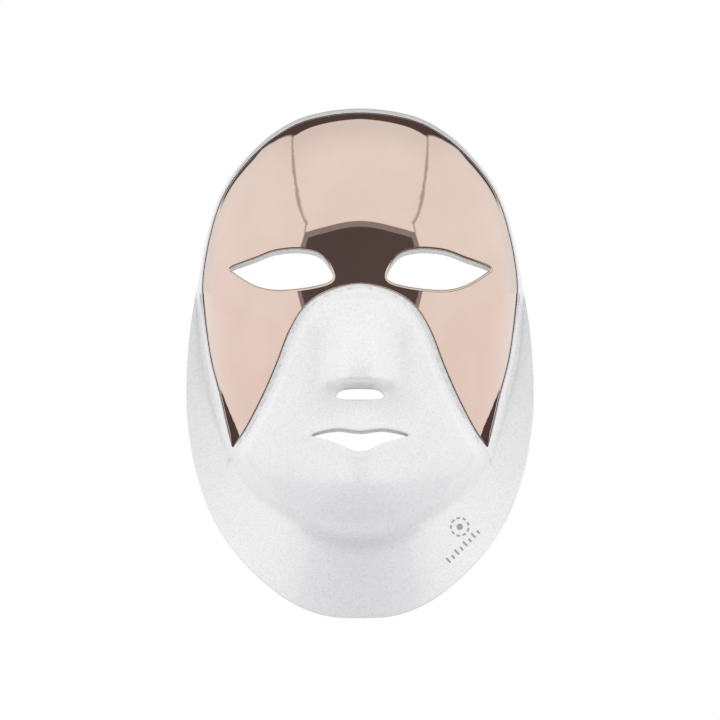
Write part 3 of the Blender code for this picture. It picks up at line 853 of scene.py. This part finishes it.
def soften_chin(x, z, normal):
    """Shades the chin as fuller down to its crease, and the crease and the skirt below it as leaning down."""
    below = CREASE_Z + CREASE_CURVE * x * x - z
    near = math.exp(-((x / CHIN_SPREAD) ** 2))
    full = 0.55 * step(*CHIN_STARTS, below) * (1 - step(*CHIN_ENDS, below)) * near
    crease = math.exp(-(((below - 3) / 5) ** 2))
    lean = near * (0.4 * step(*SKIRT_STARTS, below) + 0.6 * crease)
    across, out, up = normal
    return across * (1 - full) + lean * 2 * CREASE_CURVE * x, out, up * (1 - full) - lean


def soften_bridge(x, z, normal):
    """Shades the plate between and under the eyes as one face that leans down a little."""
    share = (1 - step(36, 44, abs(x))) * (1 - step(4, 11, z))
    lean = min(normal[2], -0.04)
    return normal[0], normal[1], normal[2] * (1 - share) + lean * share


def roll_points(x, z, normal):
    """Shades the outer edge of the plate's two points as rolled downwards, wider towards the tip."""
    angle, radius = polar(x, z)
    inward = face_radius(angle) * visor_share(angle) - radius
    width = 1.2 + 4.8 * (1 - step(-92, -58, z))
    share = (1 - step(width - 0.8, width + 0.8, inward)) * (1 - step(-64, -57, z))
    rolled = np.array((0.3 * math.copysign(1, x), -0.85, -0.38))
    return normal * (1 - share) + rolled * share


def visor_piece(metal):
    """The mirrored plate, with rounded edges all round and at the eyes."""
    form = Form()
    base = visor_line()
    edge = 0.5 * near_tip(base)
    outline = grown(base, -edge)
    eyes = [eye_line(side) for side in (-1, 1)]
    eye_edges = [grown(eye, EYE_ROUND) for eye in eyes]
    loops = sheet(form, outline, eye_edges, 0.0, depth, FINE)
    reshade(form, soften_bridge)
    reshade(form, roll_points)
    outer = edge_rows(form, loops[0], outline, depth, edge, PLATE)
    inner = []
    for loop, line in zip(loops[1:], eye_edges):
        inner.append(edge_rows(form, loop, line, depth, EYE_ROUND, PLATE, out=-1.0, flip=True))
    back_eyes = [grown(line, -EYE_ROUND) for line in eye_edges]
    back = sheet(form, grown(outline, edge), back_eyes, PLATE, depth, COARSE, outward=1.0)
    form.join(outer, back[0])
    for loop, back_loop in zip(inner, back[1:]):
        form.join(loop, back_loop, flip=True)
    return ride(form.object("visor_mirror", metal), "mask", "visor_plate")


def cover_inset(extra):
    """The inner cover meets the shell along the skirt and the rim, and round the nostrils and the mouth."""
    openings = np.concatenate((smooth_line(NOSTRILS, True, 4), smooth_line(MOUTH, True, 4)))

    def inset(x, z, share):
        gaps = np.hypot(np.subtract.outer(x, openings[:, 0]), np.subtract.outer(z, openings[:, 1]))
        angle, radius = polar(x, z)
        edge = radius / face_radius(angle)
        away = step(3, 13, gaps.min(axis=-1)) * (1 - step(0.86, 0.98, np.maximum(edge, share)))
        return COVER_EDGE_INSET + (COVER_INSET - COVER_EDGE_INSET) * away + extra

    return inset


def bay_window():
    across = BAY_HALF - 5
    low, high = BAY_BOTTOM + 5, BAY_TOP - 5
    corners = np.array(((-across, low), (across, low), (across, high), (-across, high)), float)
    return even_line(corners, 1.5)


def cover_piece(milky):
    """The wearer's side, with its openings for the eyes, nostrils, mouth and cable."""
    form = Form()
    eyes = [eye_line(side, EYE_CUT_MARGIN, 1.0) for side in (-1, 1)]
    nostrils = dropped(opening_line(NOSTRILS, 1.2), 0.6)
    mouth = dropped(opening_line(MOUTH, 1.2), 0.6)
    holes = [*eyes, nostrils, mouth, bay_window()]
    front = sheet(form, None, holes, cover_inset(0), depth, MEDIUM)
    back = sheet(form, None, holes, cover_inset(COVER), depth, MEDIUM, outward=1.0)
    rim_rows(form, front[0], back[0], 0.4, 4)
    for pair in zip(front[1:], back[1:]):
        form.join(*pair, flip=True)
    return ride(form.object("cover_skin", milky), "mask", "inner_cover")


def lens_places():
    """A staggered grid of lights that keeps clear of the openings, the pads and the bay."""
    rows = [(66 - row * LENS_PITCH * 0.87, 0.5 * (row % 2)) for row in range(15)]
    places = np.array([((column + aside) * LENS_PITCH, z) for z, aside in rows for column in range(-6, 7)])
    x, z = places.T
    angle, radius = polar(x, z)
    keep = radius < 0.79 * face_radius(angle)
    openings = (
        (eye_line(-1), 8.5), (eye_line(1), 8.5), (opening_line(NOSTRILS), 9), (opening_line(MOUTH), 8),
    )
    for outline, margin in openings:
        away = line_distance(np.concatenate((outline, outline[:1])), x, z)
        keep &= ~inside_of(outline, x, z) & (away > margin)
    for (left, right), (low, high) in (BAY_AREA, *[area for _, area, _, _ in PADS]):
        aside = (x > left - LENS_MARGIN) & (x < right + LENS_MARGIN)
        keep &= ~(aside & (z > low - LENS_MARGIN) & (z < high + LENS_MARGIN))
    return places[keep]


def on_wearer_side(x, z, lift):
    """A point on the cover's wearer side, and the way that it faces."""
    inset = cover_inset(COVER)

    def at(x, z):
        x, z = np.array([x]), np.array([z])
        angle, radius = polar(x, z)
        share = radius / silhouette_radius(angle)
        return np.array((x[0], depth(x, z, inset(x, z, share))[0], z[0]))

    here = at(x, z)
    normal = np.cross(at(x, z + 0.5) - here, at(x + 0.5, z) - here)
    normal /= np.linalg.norm(normal)
    if normal[1] < 0:
        normal = -normal
    return here + normal * lift, normal


def lens_dome(form, x, z):
    """One round lens with a flat rim, on the wearer's side."""
    middle, normal = on_wearer_side(x, z, 0.0)
    side = np.cross(normal, (0, 0, 1))
    side /= np.linalg.norm(side)
    up = np.cross(side, normal)
    turn = around(20)[:, None]
    rows = []
    for radius, lift in LENS_PROFILE:
        rows.append(form.add(middle + radius * (side * np.cos(turn) + up * np.sin(turn)) + normal * lift))
    form.join_all(rows)
    form.faces.append(tuple(rows[-1]))


def lens_piece(glass):
    form = Form()
    for x, z in lens_places():
        lens_dome(form, x, z)
    return ride(form.object("light_lenses", glass), "mask")


# Soft pieces


def ring_piece(form, loops, flip=False):
    """Closed rows joined into a ring."""
    rows = [form.add(loop) for loop in loops]
    form.join_all([*rows, rows[0]], flip)


def gasket_piece(side, name, rubber):
    """A soft tunnel from the visor to the wearer's eye, with a rounded lip and a fold round its middle."""
    form = Form()
    line = eye_line(side, 0.0, 0.8)
    loops = []
    for grow, share in GASKET_SECTION:
        x, z = grown(line, grow).T
        z = z - GASKET_DROP * share * (1 - step(0.6, 2.2, grow))
        y = depth(x, z, PLATE + GAP) + 0.5 + GASKET_DEPTH * share
        loops.append(np.stack((x, y, z), axis=1))
    ring_piece(form, loops, flip=side > 0)
    piece = form.object("eye_gasket_soft_" + name, rubber)
    return ride(facing_out(piece), "mask", "eye_gasket_" + name)


def facing_out(piece):
    """Turns the faces of a closed piece outwards."""
    work = bmesh.new()
    work.from_mesh(piece.data)
    bmesh.ops.remove_doubles(work, verts=work.verts, dist=1e-6)
    bmesh.ops.recalc_face_normals(work, faces=work.faces)
    work.to_mesh(piece.data)
    work.free()
    piece.data.shade_smooth()
    return piece


def cushion(name, at, columns, rows, rubber):
    """A crowned pad. at(u, v, t) gives a point: u and v run from -1 to 1, and t from 0 at its foot to 1."""
    form = Form()
    u, v = np.meshgrid(np.linspace(-1, 1, columns + 1), np.linspace(-1, 1, rows + 1), indexing="ij")
    u, v = np.sin(u.ravel() * math.pi / 2), np.sin(v.ravel() * math.pi / 2)
    round_u = u * np.sqrt(1 - 0.12 * v**8)
    round_v = v * np.sqrt(1 - 0.3 * u**8)
    rise = ((1 - np.abs(u) ** 6) * (1 - np.abs(v) ** 4)) ** 0.4
    ribs = 0.1 * np.exp(-((((u * 3 + 0.5) % 1 - 0.5) / 0.1) ** 2)) * (1 - step(0.5, 0.95, np.abs(v)))
    top = form.add(at(round_u, round_v, rise * (1 - ribs)))
    foot = form.add(at(round_u, round_v, 0.02 * rise))
    for i in range(columns):
        for j in range(rows):
            a = i * (rows + 1) + j
            b = a + rows + 1
            form.faces.append((top[a], top[b], top[b + 1], top[a + 1]))
            form.faces.append((foot[a], foot[a + 1], foot[b + 1], foot[b]))
    return facing_out(form.object(name, rubber))


def mask_pad(name, node, across, up, inset, thick, rubber):
    def at(u, v, t):
        x = sum(across) / 2 + (across[1] - across[0]) / 2 * u
        z = sum(up) / 2 + (up[1] - up[0]) / 2 * v
        return np.stack((x, depth(x, z, inset + thick * t), z), axis=1)

    piece = ride(cushion(name, at, 48, 28, rubber), "mask", node)
    return piece


def rear_pad_piece(rubber):
    def at(u, v, t):
        angle = math.radians(90) + math.radians(32) * u
        reach = STRAP_X - 1.6 - 4.4 * t
        return np.stack((reach * np.cos(angle), STRAP_TURN + reach * np.sin(angle), STRAP_Z + 12 * v), axis=1)

    piece = ride(cushion("rear_pad_soft", at, 72, 28, rubber), "strap", "rear_pad")
    return piece


def band_plan(spacing=0.8):
    """Middle line of the band in plan, with the way out from the head at each point."""
    turn = np.linspace(math.pi, 0, 260)
    arc = np.stack((STRAP_X * np.cos(turn), STRAP_TURN + STRAP_X * np.sin(turn)), axis=1)
    line = np.concatenate(([(-STRAP_X, STRAP_START)], arc, [(STRAP_X, STRAP_START)]))
    line = even_line(line, spacing, closed=False)
    along = np.gradient(line, axis=0)
    out = np.stack((-along[:, 1], along[:, 0]), axis=1)
    return line, out / np.linalg.norm(out, axis=1)[:, None]


def band_piece(rubber):
    """The head band: rounded edges, a shallow groove outside and fine grip ribs where the sliders run."""
    line, out = band_plan()
    along = np.arange(len(line)) * 0.8
    end = np.minimum(along, along[-1] - along)
    grip = step(6, 10, end) * (1 - step(44, 48, end))
    rows = []
    form = Form()
    section = band_section(STRAP_HEIGHT / 2, STRAP_THICK / 2)
    for (x, y), (ox, oy), at, ribbed in zip(line, out, along, grip):
        rib = 0.16 * math.sin(at * 2 * math.pi / 3.2) * ribbed
        points = []
        for off, z, middle in section:
            off = off + math.copysign(rib * middle, off)
            points.append((x + ox * off, y + oy * off, STRAP_Z + z))
        rows.append(form.add(points))
    form.join_all(rows, capped=True)
    return ride(facing_out(form.object("band_soft", rubber)), "strap", "strap_band")


def band_section(half, thick):
    """The band's section: (offset from its middle, height, share of the ribs)."""
    points = []
    for side in (1, -1):
        for z in side * np.linspace(thick - half, half - thick, 15):
            groove = 0.3 * math.exp(-((z / 5.5) ** 8)) if side > 0 else 0.0
            points.append((side * thick - groove, z, 1 - step(6, 8.5, abs(z))))
        for turn in np.linspace(0, math.pi, 7)[1:-1]:
            x, z = thick * math.cos(turn), half - thick + thick * math.sin(turn)
            points.append((side * x, side * z, 0.0))
    return points


# Hard pieces


def refined(node, paint, name, bevel, body="mask"):
    """A CAD solid with welded faces, rounded edges and clean shading, which stands for its node."""
    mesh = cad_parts[node].data.copy()
    mesh.name = name
    if "custom_normal" in mesh.attributes:
        mesh.attributes.remove(mesh.attributes["custom_normal"])
    work = bmesh.new()
    work.from_mesh(mesh)
    bmesh.ops.remove_doubles(work, verts=work.verts, dist=2e-6)
    bmesh.ops.dissolve_limit(work, angle_limit=math.radians(0.6), verts=work.verts, edges=work.edges)
    work.to_mesh(mesh)
    work.free()
    mesh.materials.clear()
    mesh.materials.append(paint)
    mesh.shade_smooth()
    piece = linked(name, mesh)
    edge = bevelled(piece, bevel, 3)
    edge.angle_limit = math.radians(32)
    edge.harden_normals = True
    return ride(piece, body, node)


def bevelled(piece, width, segments):
    edge = piece.modifiers.new("edge", "BEVEL")
    edge.width = width * MM
    edge.segments = segments
    edge.limit_method = "ANGLE"
    return edge


def sharp_shading(piece, degrees=35):
    piece.data.shade_smooth()
    piece.data.set_sharp_from_angle(angle=math.radians(degrees))
    return piece


def turned(name, paint, profile, middle, axis, sides=48):
    """A piece turned about an axis through a point: the profile holds (radius, place along the axis)."""
    form = Form()
    turn = around(sides)
    order = {"x": (2, 0, 1), "y": (1, 2, 0), "z": (0, 1, 2)}[axis]
    rows = []
    for radius, along in profile:
        ring = np.stack((radius * np.cos(turn), radius * np.sin(turn), np.full(sides, along)), axis=1)
        rows.append(form.add(ring[:, order] + middle))
    form.join_all(rows, capped=True)
    return facing_out(form.object(name, paint))


def slab(form, low, high):
    """The eight corners and six faces of a block."""
    across, deep, up = zip(low, high)
    corners = form.add([(x, y, z) for x in across for y in deep for z in up])
    for face in ((0, 1, 3, 2), (4, 6, 7, 5), (0, 4, 5, 1), (2, 3, 7, 6), (0, 2, 6, 4), (1, 5, 7, 3)):
        form.faces.append(tuple(corners[i] for i in face))


def carved(piece, cutter):
    """Cuts one piece out of another and leaves a plain mesh."""
    cut = piece.modifiers.new("cut", "BOOLEAN")
    cut.operation = "DIFFERENCE"
    cut.object = cutter
    cut.solver = "EXACT"
    bpy.context.view_layer.update()
    graph = bpy.context.evaluated_depsgraph_get()
    mesh = bpy.data.meshes.new_from_object(piece.evaluated_get(graph))
    piece.modifiers.clear()
    piece.data = mesh
    bpy.data.objects.remove(cutter, do_unlink=True)
    return piece


def screw_piece(number, x, z, metal):
    """A small screw with a domed head and a cross recess."""
    seat = BAY_BACK - SCREW_SUNK + GAP
    top = seat + 1.2
    profile = (
        (1.1, BAY_FRONT + 2), (1.2, BAY_FRONT + 2.4), (1.2, seat), (2.45, seat), (2.6, seat + 0.15),
        (2.6, seat + 0.6), (2.4, seat + 0.9), (1.9, seat + 1.1), (1.0, top - 0.02), (0.4, top),
    )
    piece = turned(f"bay_screw_head_{number}", metal, profile, (x, 0, z), "y")
    for wide, deep, tall in ((1.5, 0.6, 0.24), (0.24, 0.61, 1.5)):
        cross = Form()
        slab(cross, (x - wide, top - deep, z - tall), (x + wide, top + 1, z + tall))
        carved(piece, facing_out(cross.object("cross")))
    return ride(sharp_shading(piece), "mask", f"bay_screw_{number}")


def pin_piece(side, name, metal):
    """The pivot's rivet: a domed head outside and a rolled one inside."""
    start, end = STRAP_X - 7, STRAP_X + 1.7
    profile = (
        (3.4, start), (4.0, start + 0.25), (4.2, start + 0.7), (4.2, start + 1.2), (PIN_RADIUS, start + 1.3),
        (PIN_RADIUS, end), (4.15, end + 0.05), (4.2, end + 0.3), (3.9, end + 0.75), (3.2, end + 1.05),
        (2.0, end + 1.18), (1.1, end + 1.1), (0.9, end + 0.8),
    )
    profile = [(radius, side * along) for radius, along in profile]
    piece = turned("pivot_rivet_" + name, metal, profile, (0, PIVOT_Y, STRAP_Z), "x", 56)
    return ride(sharp_shading(piece), "mask", "pivot_pin_" + name)


def button_piece(rubber):
    """The soft button: a dished cap on a skirt, with a raised ring."""
    flange = BAY_WALL + GAP
    profile = (
        (0.5, -0.75), (1.4, -0.85), (2.1, -1.05), (2.4, -1.35), (2.7, -1.4), (3.1, -1.35), (3.6, -1.15),
        (3.85, -0.85), (3.9, -0.4), (3.9, flange), (4.9, flange), (5, flange + 0.15), (5, BAY_WALL + 1.0),
        (4.9, BAY_WALL + 1.1),
    )
    piece = turned("power_button_soft", rubber, profile, (BUTTON_X, OUTLET_Y, BAY_BOTTOM), "z", 56)
    return ride(sharp_shading(piece, 50), "button", "power_button")


def light_piece(glass):
    profile = ((0.4, -0.2), (0.9, -0.12), (1.15, 0.05), (1.2, 0.3), (1.2, 6))
    piece = turned("status_lens", glass, profile, (0, OUTLET_Y, BAY_BOTTOM), "z", 32)
    return ride(sharp_shading(piece), "mask", "status_light")


def buzzer_piece(plastic):
    profile = ((0.9, 3.4), (0.95, 4.15), (1.2, 4.2), (3.9, 4.2), (4.2, 3.9), (4.2, 1.6), (3.9, 1.2))
    piece = turned("buzzer_can", plastic, profile, (BUZZER[0], BAY_FRONT, BUZZER[1]), "y")
    return ride(sharp_shading(piece), "mask", "buzzer")


def flap_piece(rubber):
    """The socket's cover: a soft flap with rounded corners, a thumb dish and a lifting lip."""
    low, high = np.array(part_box("port_cover")) / MM
    middle = (low + high) / 2
    half = (high - low) / 2

    def at(u, v, t):
        x = middle[0] + half[0] * u
        y = middle[1] + half[1] * v
        dish = 0.3 * np.exp(-((u / 0.45) ** 2) - (((v - 0.1) / 0.5) ** 2))
        lip = 0.12 * np.exp(-(((v + 0.8) / 0.12) ** 2))
        z = high[2] - (high[2] - low[2]) * t * (0.9 - dish + lip)
        return np.stack((x, y, z), axis=1)

    return ride(cushion("port_flap_soft", at, 36, 28, rubber), "port_flap", "port_cover")


def blocks(name, paint, corners, width):
    """Small blocks with rounded edges, fixed to the mask."""
    form = Form()
    for low, high in corners:
        slab(form, low, high)
    piece = facing_out(form.object(name, paint))
    bevelled(piece, width, 2)
    return ride(sharp_shading(piece, 40), "mask")


def socket_tongue(plastic, metal):
    """The socket's tongue with its row of contacts, inside the steel shell."""
    low = BAY_BOTTOM + 1.2
    tongue = ((PORT_X - 3.2, OUTLET_Y - 0.35, low), (PORT_X + 3.2, OUTLET_Y + 0.35, BAY_BOTTOM + 6.1))
    blocks("socket_tongue", plastic, [tongue], 0.12)
    contacts = []
    for k in range(8):
        x = PORT_X - 2.6 + k * 0.74
        contacts.append(((x - 0.16, OUTLET_Y - 0.42, low + 0.3), (x + 0.16, OUTLET_Y + 0.42, low + 3.6)))
    blocks("socket_contacts", metal, contacts, 0.05)


def chips_piece(plastic):
    """Packages on the control board's wearer side."""
    face = BAY_FRONT + 0.7
    parts = []
    for x, z, wide, tall, high in BOARD_PARTS:
        parts.append(((x - wide / 2, face, z - tall / 2), (x + wide / 2, face + high, z + tall / 2)))
    return blocks("board_parts", plastic, parts, 0.12)


def led_chips(ceramic):
    """The small light packages on the boards' wearer side, in rows."""
    chips = []
    for left, right, low, high in LED_FIELDS:
        for x in np.linspace(left + 4, right - 4, max(2, int((right - left) / 8))):
            for z in np.linspace(low + 4, high - 4, max(2, int((high - low) / 8))):
                y = depth(np.array([x]), np.array([z]), BOARD_INSET + BOARD)[0] - 0.25
                chips.append(((x - 1.4, y, z - 1.75), (x + 1.4, y + 0.9, z + 1.75)))
    return blocks("led_packages", ceramic, chips, 0.15)


def mark_polygons():
    """A generic mark: a ring of dashes round a dot, above a slanting row of plain bars."""
    shapes = []
    middle = np.array(MARK_RING)
    for k in range(9):
        start = math.radians(k * 40 + 8)
        ends = np.linspace(start, start + math.radians(24), 5)
        arc = np.stack((np.cos(ends), np.sin(ends)), axis=1)
        shapes.append(middle + np.concatenate((arc * 5.2, arc[::-1] * 4.2)))
    turn = around(16)
    shapes.append(middle + 1.7 * np.stack((np.cos(turn), np.sin(turn)), axis=1))
    slope = math.radians(MARK_SLOPE)
    along = np.array((math.cos(slope), math.sin(slope)))
    up = np.array((-along[1], along[0]))
    for k in range(8):
        at = np.array(MARK_BARS) + along * k * 3.1
        tall = 3.3 if k % 2 == 0 else 2.2
        bar = ((0, 0), (1.1, 0), (1.1, tall), (0, tall))
        shapes.append(at + np.array([along * a + up * b for a, b in bar]))
    return shapes


def mark_piece(ink):
    form = Form()
    for shape in mark_polygons():
        form.faces.append(tuple(form.add(on_surface(shape, skin, 0.0) - (0, MARK_LIFT, 0))))
    return ride(form.object("printed_mark", ink), "mask")


# Light, floor and camera


def stage_floor():
    """White to the camera only, so that it neither lights the mask nor shows in the mirror."""
    z = cad_box[0][2] - 0.0008
    mesh = bpy.data.meshes.new("floor")
    mesh.from_pydata([(-4, -4, z), (4, -4, z), (4, 4, z), (-4, 4, z)], [], [(0, 1, 2, 3)])
    floor = linked("floor", mesh)
    made = bpy.data.materials.new("floor_white")
    made.use_nodes = True
    tree = made.node_tree
    tree.nodes.clear()
    out = tree.nodes.new("ShaderNodeOutputMaterial")
    glow = tree.nodes.new("ShaderNodeEmission")
    glow.inputs["Color"].default_value = (1, 1, 1, 1)
    tree.links.new(glow.outputs["Emission"], out.inputs["Surface"])
    mesh.materials.append(made)
    floor.visible_glossy = False
    floor.visible_diffuse = False
    floor.visible_shadow = False


class Sums:
    """Short names for the arithmetic nodes of one tree."""

    def __init__(self, tree):
        self.tree = tree

    def put(self, value, socket):
        """Sets a number or a colour, and links anything else."""
        if isinstance(value, tuple):
            socket.default_value = (*value, 1)
        elif isinstance(value, (int, float)):
            socket.default_value = value
        else:
            self.tree.links.new(value, socket)

    def math(self, kind, *values):
        node = self.tree.nodes.new("ShaderNodeMath")
        node.operation = kind
        for socket, value in zip(node.inputs, values):
            self.put(value, socket)
        return node.outputs[0]

    def times(self, first, second):
        return self.math("MULTIPLY", first, second)

    def ramp(self, low, high, value):
        """0 below low, 1 above high."""
        node = self.tree.nodes.new("ShaderNodeMapRange")
        node.interpolation_type = "SMOOTHSTEP"
        for name, given in (("From Min", low), ("From Max", high), ("Value", value)):
            self.put(given, node.inputs[name])
        return node.outputs["Result"]

    def off(self, low, high, value):
        """1 below low, 0 above high."""
        return self.math("SUBTRACT", 1.0, self.ramp(low, high, value))

    def mix(self, share, low, high):
        node = self.tree.nodes.new("ShaderNodeMix")
        node.data_type = "RGBA"
        self.put(share, node.inputs["Factor"])
        colours = [socket for socket in node.inputs if socket.type == "RGBA"]
        self.put(low, colours[0])
        self.put(high, colours[1])
        return [socket for socket in node.outputs if socket.type == "RGBA"][0]


def sky_angles(sums):
    """Azimuth from straight in front of the mask, either way, and elevation over it, both in degrees."""
    tree = sums.tree
    where = tree.nodes.new("ShaderNodeTexCoord")
    split = tree.nodes.new("ShaderNodeSeparateXYZ")
    tree.links.new(where.outputs["Generated"], split.inputs["Vector"])
    x, y, z = split.outputs
    front = sums.times(y, -1.0)
    aside = sums.math("ABSOLUTE", x)
    over = sums.times(sums.math("ARCTAN2", z, front), 180 / math.pi)
    level = sums.math("SQRT", sums.math("ADD", sums.times(y, y), sums.times(z, z)))
    side = sums.times(sums.math("ARCTAN2", aside, level), 180 / math.pi)
    return side, over, z, front


def reflected_room(sums):
    """What the mirror sees: a bright tent with two seams, a dark gap low in front, a dark back and floor."""
    side, over, z, _ = sky_angles(sums)
    tent = sums.mix(sums.ramp(*TENT_FADE, z), TENT_LOW, TENT)
    tent = sums.mix(sums.times(sums.ramp(*TOP_OVER, over), sums.off(*TOP_SIDE, side)), tent, TENT_TOP)
    apart = sums.math("POWER", sums.math("ABSOLUTE", sums.math("SUBTRACT", over, SEAM_OVER)), 2.0)
    half = sums.math("SUBTRACT", SEAM_WIDEST, sums.times(apart, SEAM_CURVE))
    past = sums.math("SUBTRACT", side, sums.math("MAXIMUM", half, SEAM_NARROWEST))
    seam = sums.times(sums.off(*SEAM_EDGE, sums.math("ABSOLUTE", past)), sums.ramp(*GAP_TOP, over))
    room = sums.mix(seam, tent, SEAM_COLOUR)
    gap = sums.times(sums.off(*GAP_SIDE, past), sums.off(*GAP_TOP, over))
    inner = sums.times(sums.off(*GAP_INNER_TOP, over), sums.off(*GAP_INNER_SIDE, past))
    room = sums.mix(gap, room, GAP_BORDER)
    room = sums.mix(sums.times(gap, inner), room, GAP_COLOUR)
    wide = sums.times(sums.ramp(*BACK_START, over), sums.off(*BACK_SIDE, side))
    thin = sums.times(sums.ramp(*LAST_START, over), sums.off(*LAST_SIDE, side))
    behind = sums.times(sums.math("MAXIMUM", wide, thin), sums.off(*BACK_END, over))
    room = sums.mix(behind, room, BACK_COLOUR)
    under = sums.times(sums.ramp(*UNDER_START, over), sums.off(*UNDER_END, over))
    under = sums.times(under, sums.off(*UNDER_SIDE, side))
    under = sums.math("MAXIMUM", under, sums.off(*FLOOR_HEIGHT, z))
    return sums.mix(under, room, BACK_COLOUR)


def soft_light(sums):
    """What lights the white parts: brightest from the sides and behind, cooler and dimmer from below."""
    side, _, z, front = sky_angles(sums)
    light = sums.mix(sums.ramp(-0.9, 0.9, z), LIGHT_LOW, LIGHT_HIGH)
    light = sums.mix(sums.ramp(0.25, 1.0, front), light, LIGHT_FRONT)
    light = sums.mix(sums.ramp(0.2, 0.9, sums.times(front, -1.0)), light, LIGHT_BACK)
    return sums.mix(sums.ramp(*LIGHT_SIDE_DEGREES, side), light, LIGHT_SIDE)


def studio_world():
    world = bpy.data.worlds.new("studio")
    bpy.context.scene.world = world
    world.use_nodes = True
    tree = world.node_tree
    tree.nodes.clear()
    sums = Sums(tree)
    rays = tree.nodes.new("ShaderNodeLightPath")
    room = reflected_room(sums)
    seen = sums.mix(rays.outputs["Is Glossy Ray"], soft_light(sums), room)
    seen = sums.mix(rays.outputs["Is Camera Ray"], seen, (1.0, 1.0, 1.0))
    back = tree.nodes.new("ShaderNodeBackground")
    tree.links.new(seen, back.inputs["Color"])
    out = tree.nodes.new("ShaderNodeOutputWorld")
    tree.links.new(back.outputs["Background"], out.inputs["Surface"])


def lamp(side, hidden_from):
    """A small soft lamp above the camera, to one side. It doesn't light the piece that it is hidden from."""
    name = "lamp_right" if side > 0 else "lamp_left"
    data = bpy.data.lights.new(name, "AREA")
    data.shape = "RECTANGLE"
    data.size, data.size_y = LAMP_SIZE
    data.energy = LAMP_POWER
    made = linked(name, data)
    made.location = (LAMP_PLACE[0] * side, *LAMP_PLACE[1:])
    made.rotation_euler = (Vector(LAMP_AIM) - made.location).to_track_quat("-Z", "Y").to_euler()
    made.visible_glossy = False  # the skirt's broad cheeks would show the lamps as white spots
    others = bpy.data.collections.new(name + "_receivers")
    others.objects.link(hidden_from)
    made.light_linking.receiver_collection = others
    others.collection_objects[0].light_linking.link_state = "EXCLUDE"


def photo_camera():
    """Straight in front of the mask, level with the middle of its height."""
    data = bpy.data.cameras.new("camera")
    data.sensor_width = 36
    data.lens = CAMERA_LENS
    data.clip_end = 30
    camera = linked("camera", data)
    camera.location = (0, -CAMERA_AWAY, CAMERA_Z)
    camera.rotation_euler = (math.radians(90), 0, 0)
    bpy.context.scene.camera = camera


# Build


def node_paints(paints):
    """Finishes for the CAD solids that stay as they are."""
    finishes = {"control_board": paints["circuit"]}
    for part in ("forehead", "chin", "cheek_left", "cheek_right"):
        finishes["led_board_" + part] = paints["board"]
        finishes["flat_cable_" + part] = paints["cable"]
    return finishes


def build():
    paints = {
        "pearl": pearl_paint(), "mirror": rose_mirror(), "milky": milky_cover(), "silicone": silicone(),
        "steel": bright_steel(), "black": smooth_plastic("black_plastic", (0.03, 0.03, 0.035), 0.4),
        "board": smooth_plastic("led_board", (0.82, 0.82, 0.79), 0.38), "cable": flat_cable(),
        "foil": battery_foil(), "circuit": circuit_board(), "ink": printed_grey(),
        "white": smooth_plastic("satin_white", (0.82, 0.82, 0.835), 0.3),
        "lens": lens_glass("light_lens", (0.93, 0.9, 0.88)),
        "ceramic": smooth_plastic("led_ceramic", (0.9, 0.85, 0.5), 0.35),
    }
    for node, paint in node_paints(paints).items():
        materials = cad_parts[node].data.materials
        materials.clear()
        materials.append(paint)
    shell_piece(paints["pearl"])
    visor_piece(paints["mirror"])
    cover_piece(paints["milky"])
    lens_piece(paints["lens"])
    soft_pieces(paints["silicone"])
    hard_pieces(paints)
    mark_piece(paints["ink"])


def soft_pieces(rubber):
    pieces = [band_piece(rubber), rear_pad_piece(rubber), button_piece(rubber), flap_piece(rubber)]
    for name, (across, up), inset, thick in PADS:
        pieces.append(mask_pad(name + "_soft", name, across, up, inset, thick, rubber))
    for side, name in SIDES:
        pieces.append(gasket_piece(side, name, rubber))


def hard_pieces(paints):
    white, steel = paints["white"], paints["steel"]
    refined("bay_cover", white, "bay_cover_rounded", 0.35)
    refined("battery", paints["foil"], "battery_pouch", 0.5)
    refined("tact_switch", paints["black"], "tact_switch_body", 0.2)
    refined("usb_socket", steel, "socket_shell", 0.12)
    socket_tongue(paints["black"], steel)
    chips_piece(paints["black"])
    led_chips(paints["ceramic"])
    light_piece(paints["lens"])
    buzzer_piece(paints["black"])
    for number, (x, z) in enumerate(bay_corners(), 1):
        screw_piece(number, x, z, steel)
    for side, name in SIDES:
        pin_piece(side, name, steel)
        refined("temple_bracket_" + name, white, "temple_plate_" + name, 0.5)
        refined("strap_clip_" + name, white, "band_end_" + name, 0.5, "strap")
        refined("strap_slider_" + name, white, "slider_loop_" + name, 0.6, "slider_" + name)


def bay_corners():
    across = BAY_HALF - SCREW_INSET
    return [(x, z) for x in (-across, across) for z in (BAY_BOTTOM + SCREW_INSET, BAY_TOP - SCREW_INSET)]


build()
studio_world()
stage_floor()
for lamp_side in (-1, 1):
    lamp(lamp_side, bpy.data.objects["visor_mirror"])
photo_camera()
bpy.context.scene.view_settings.view_transform = "Standard"
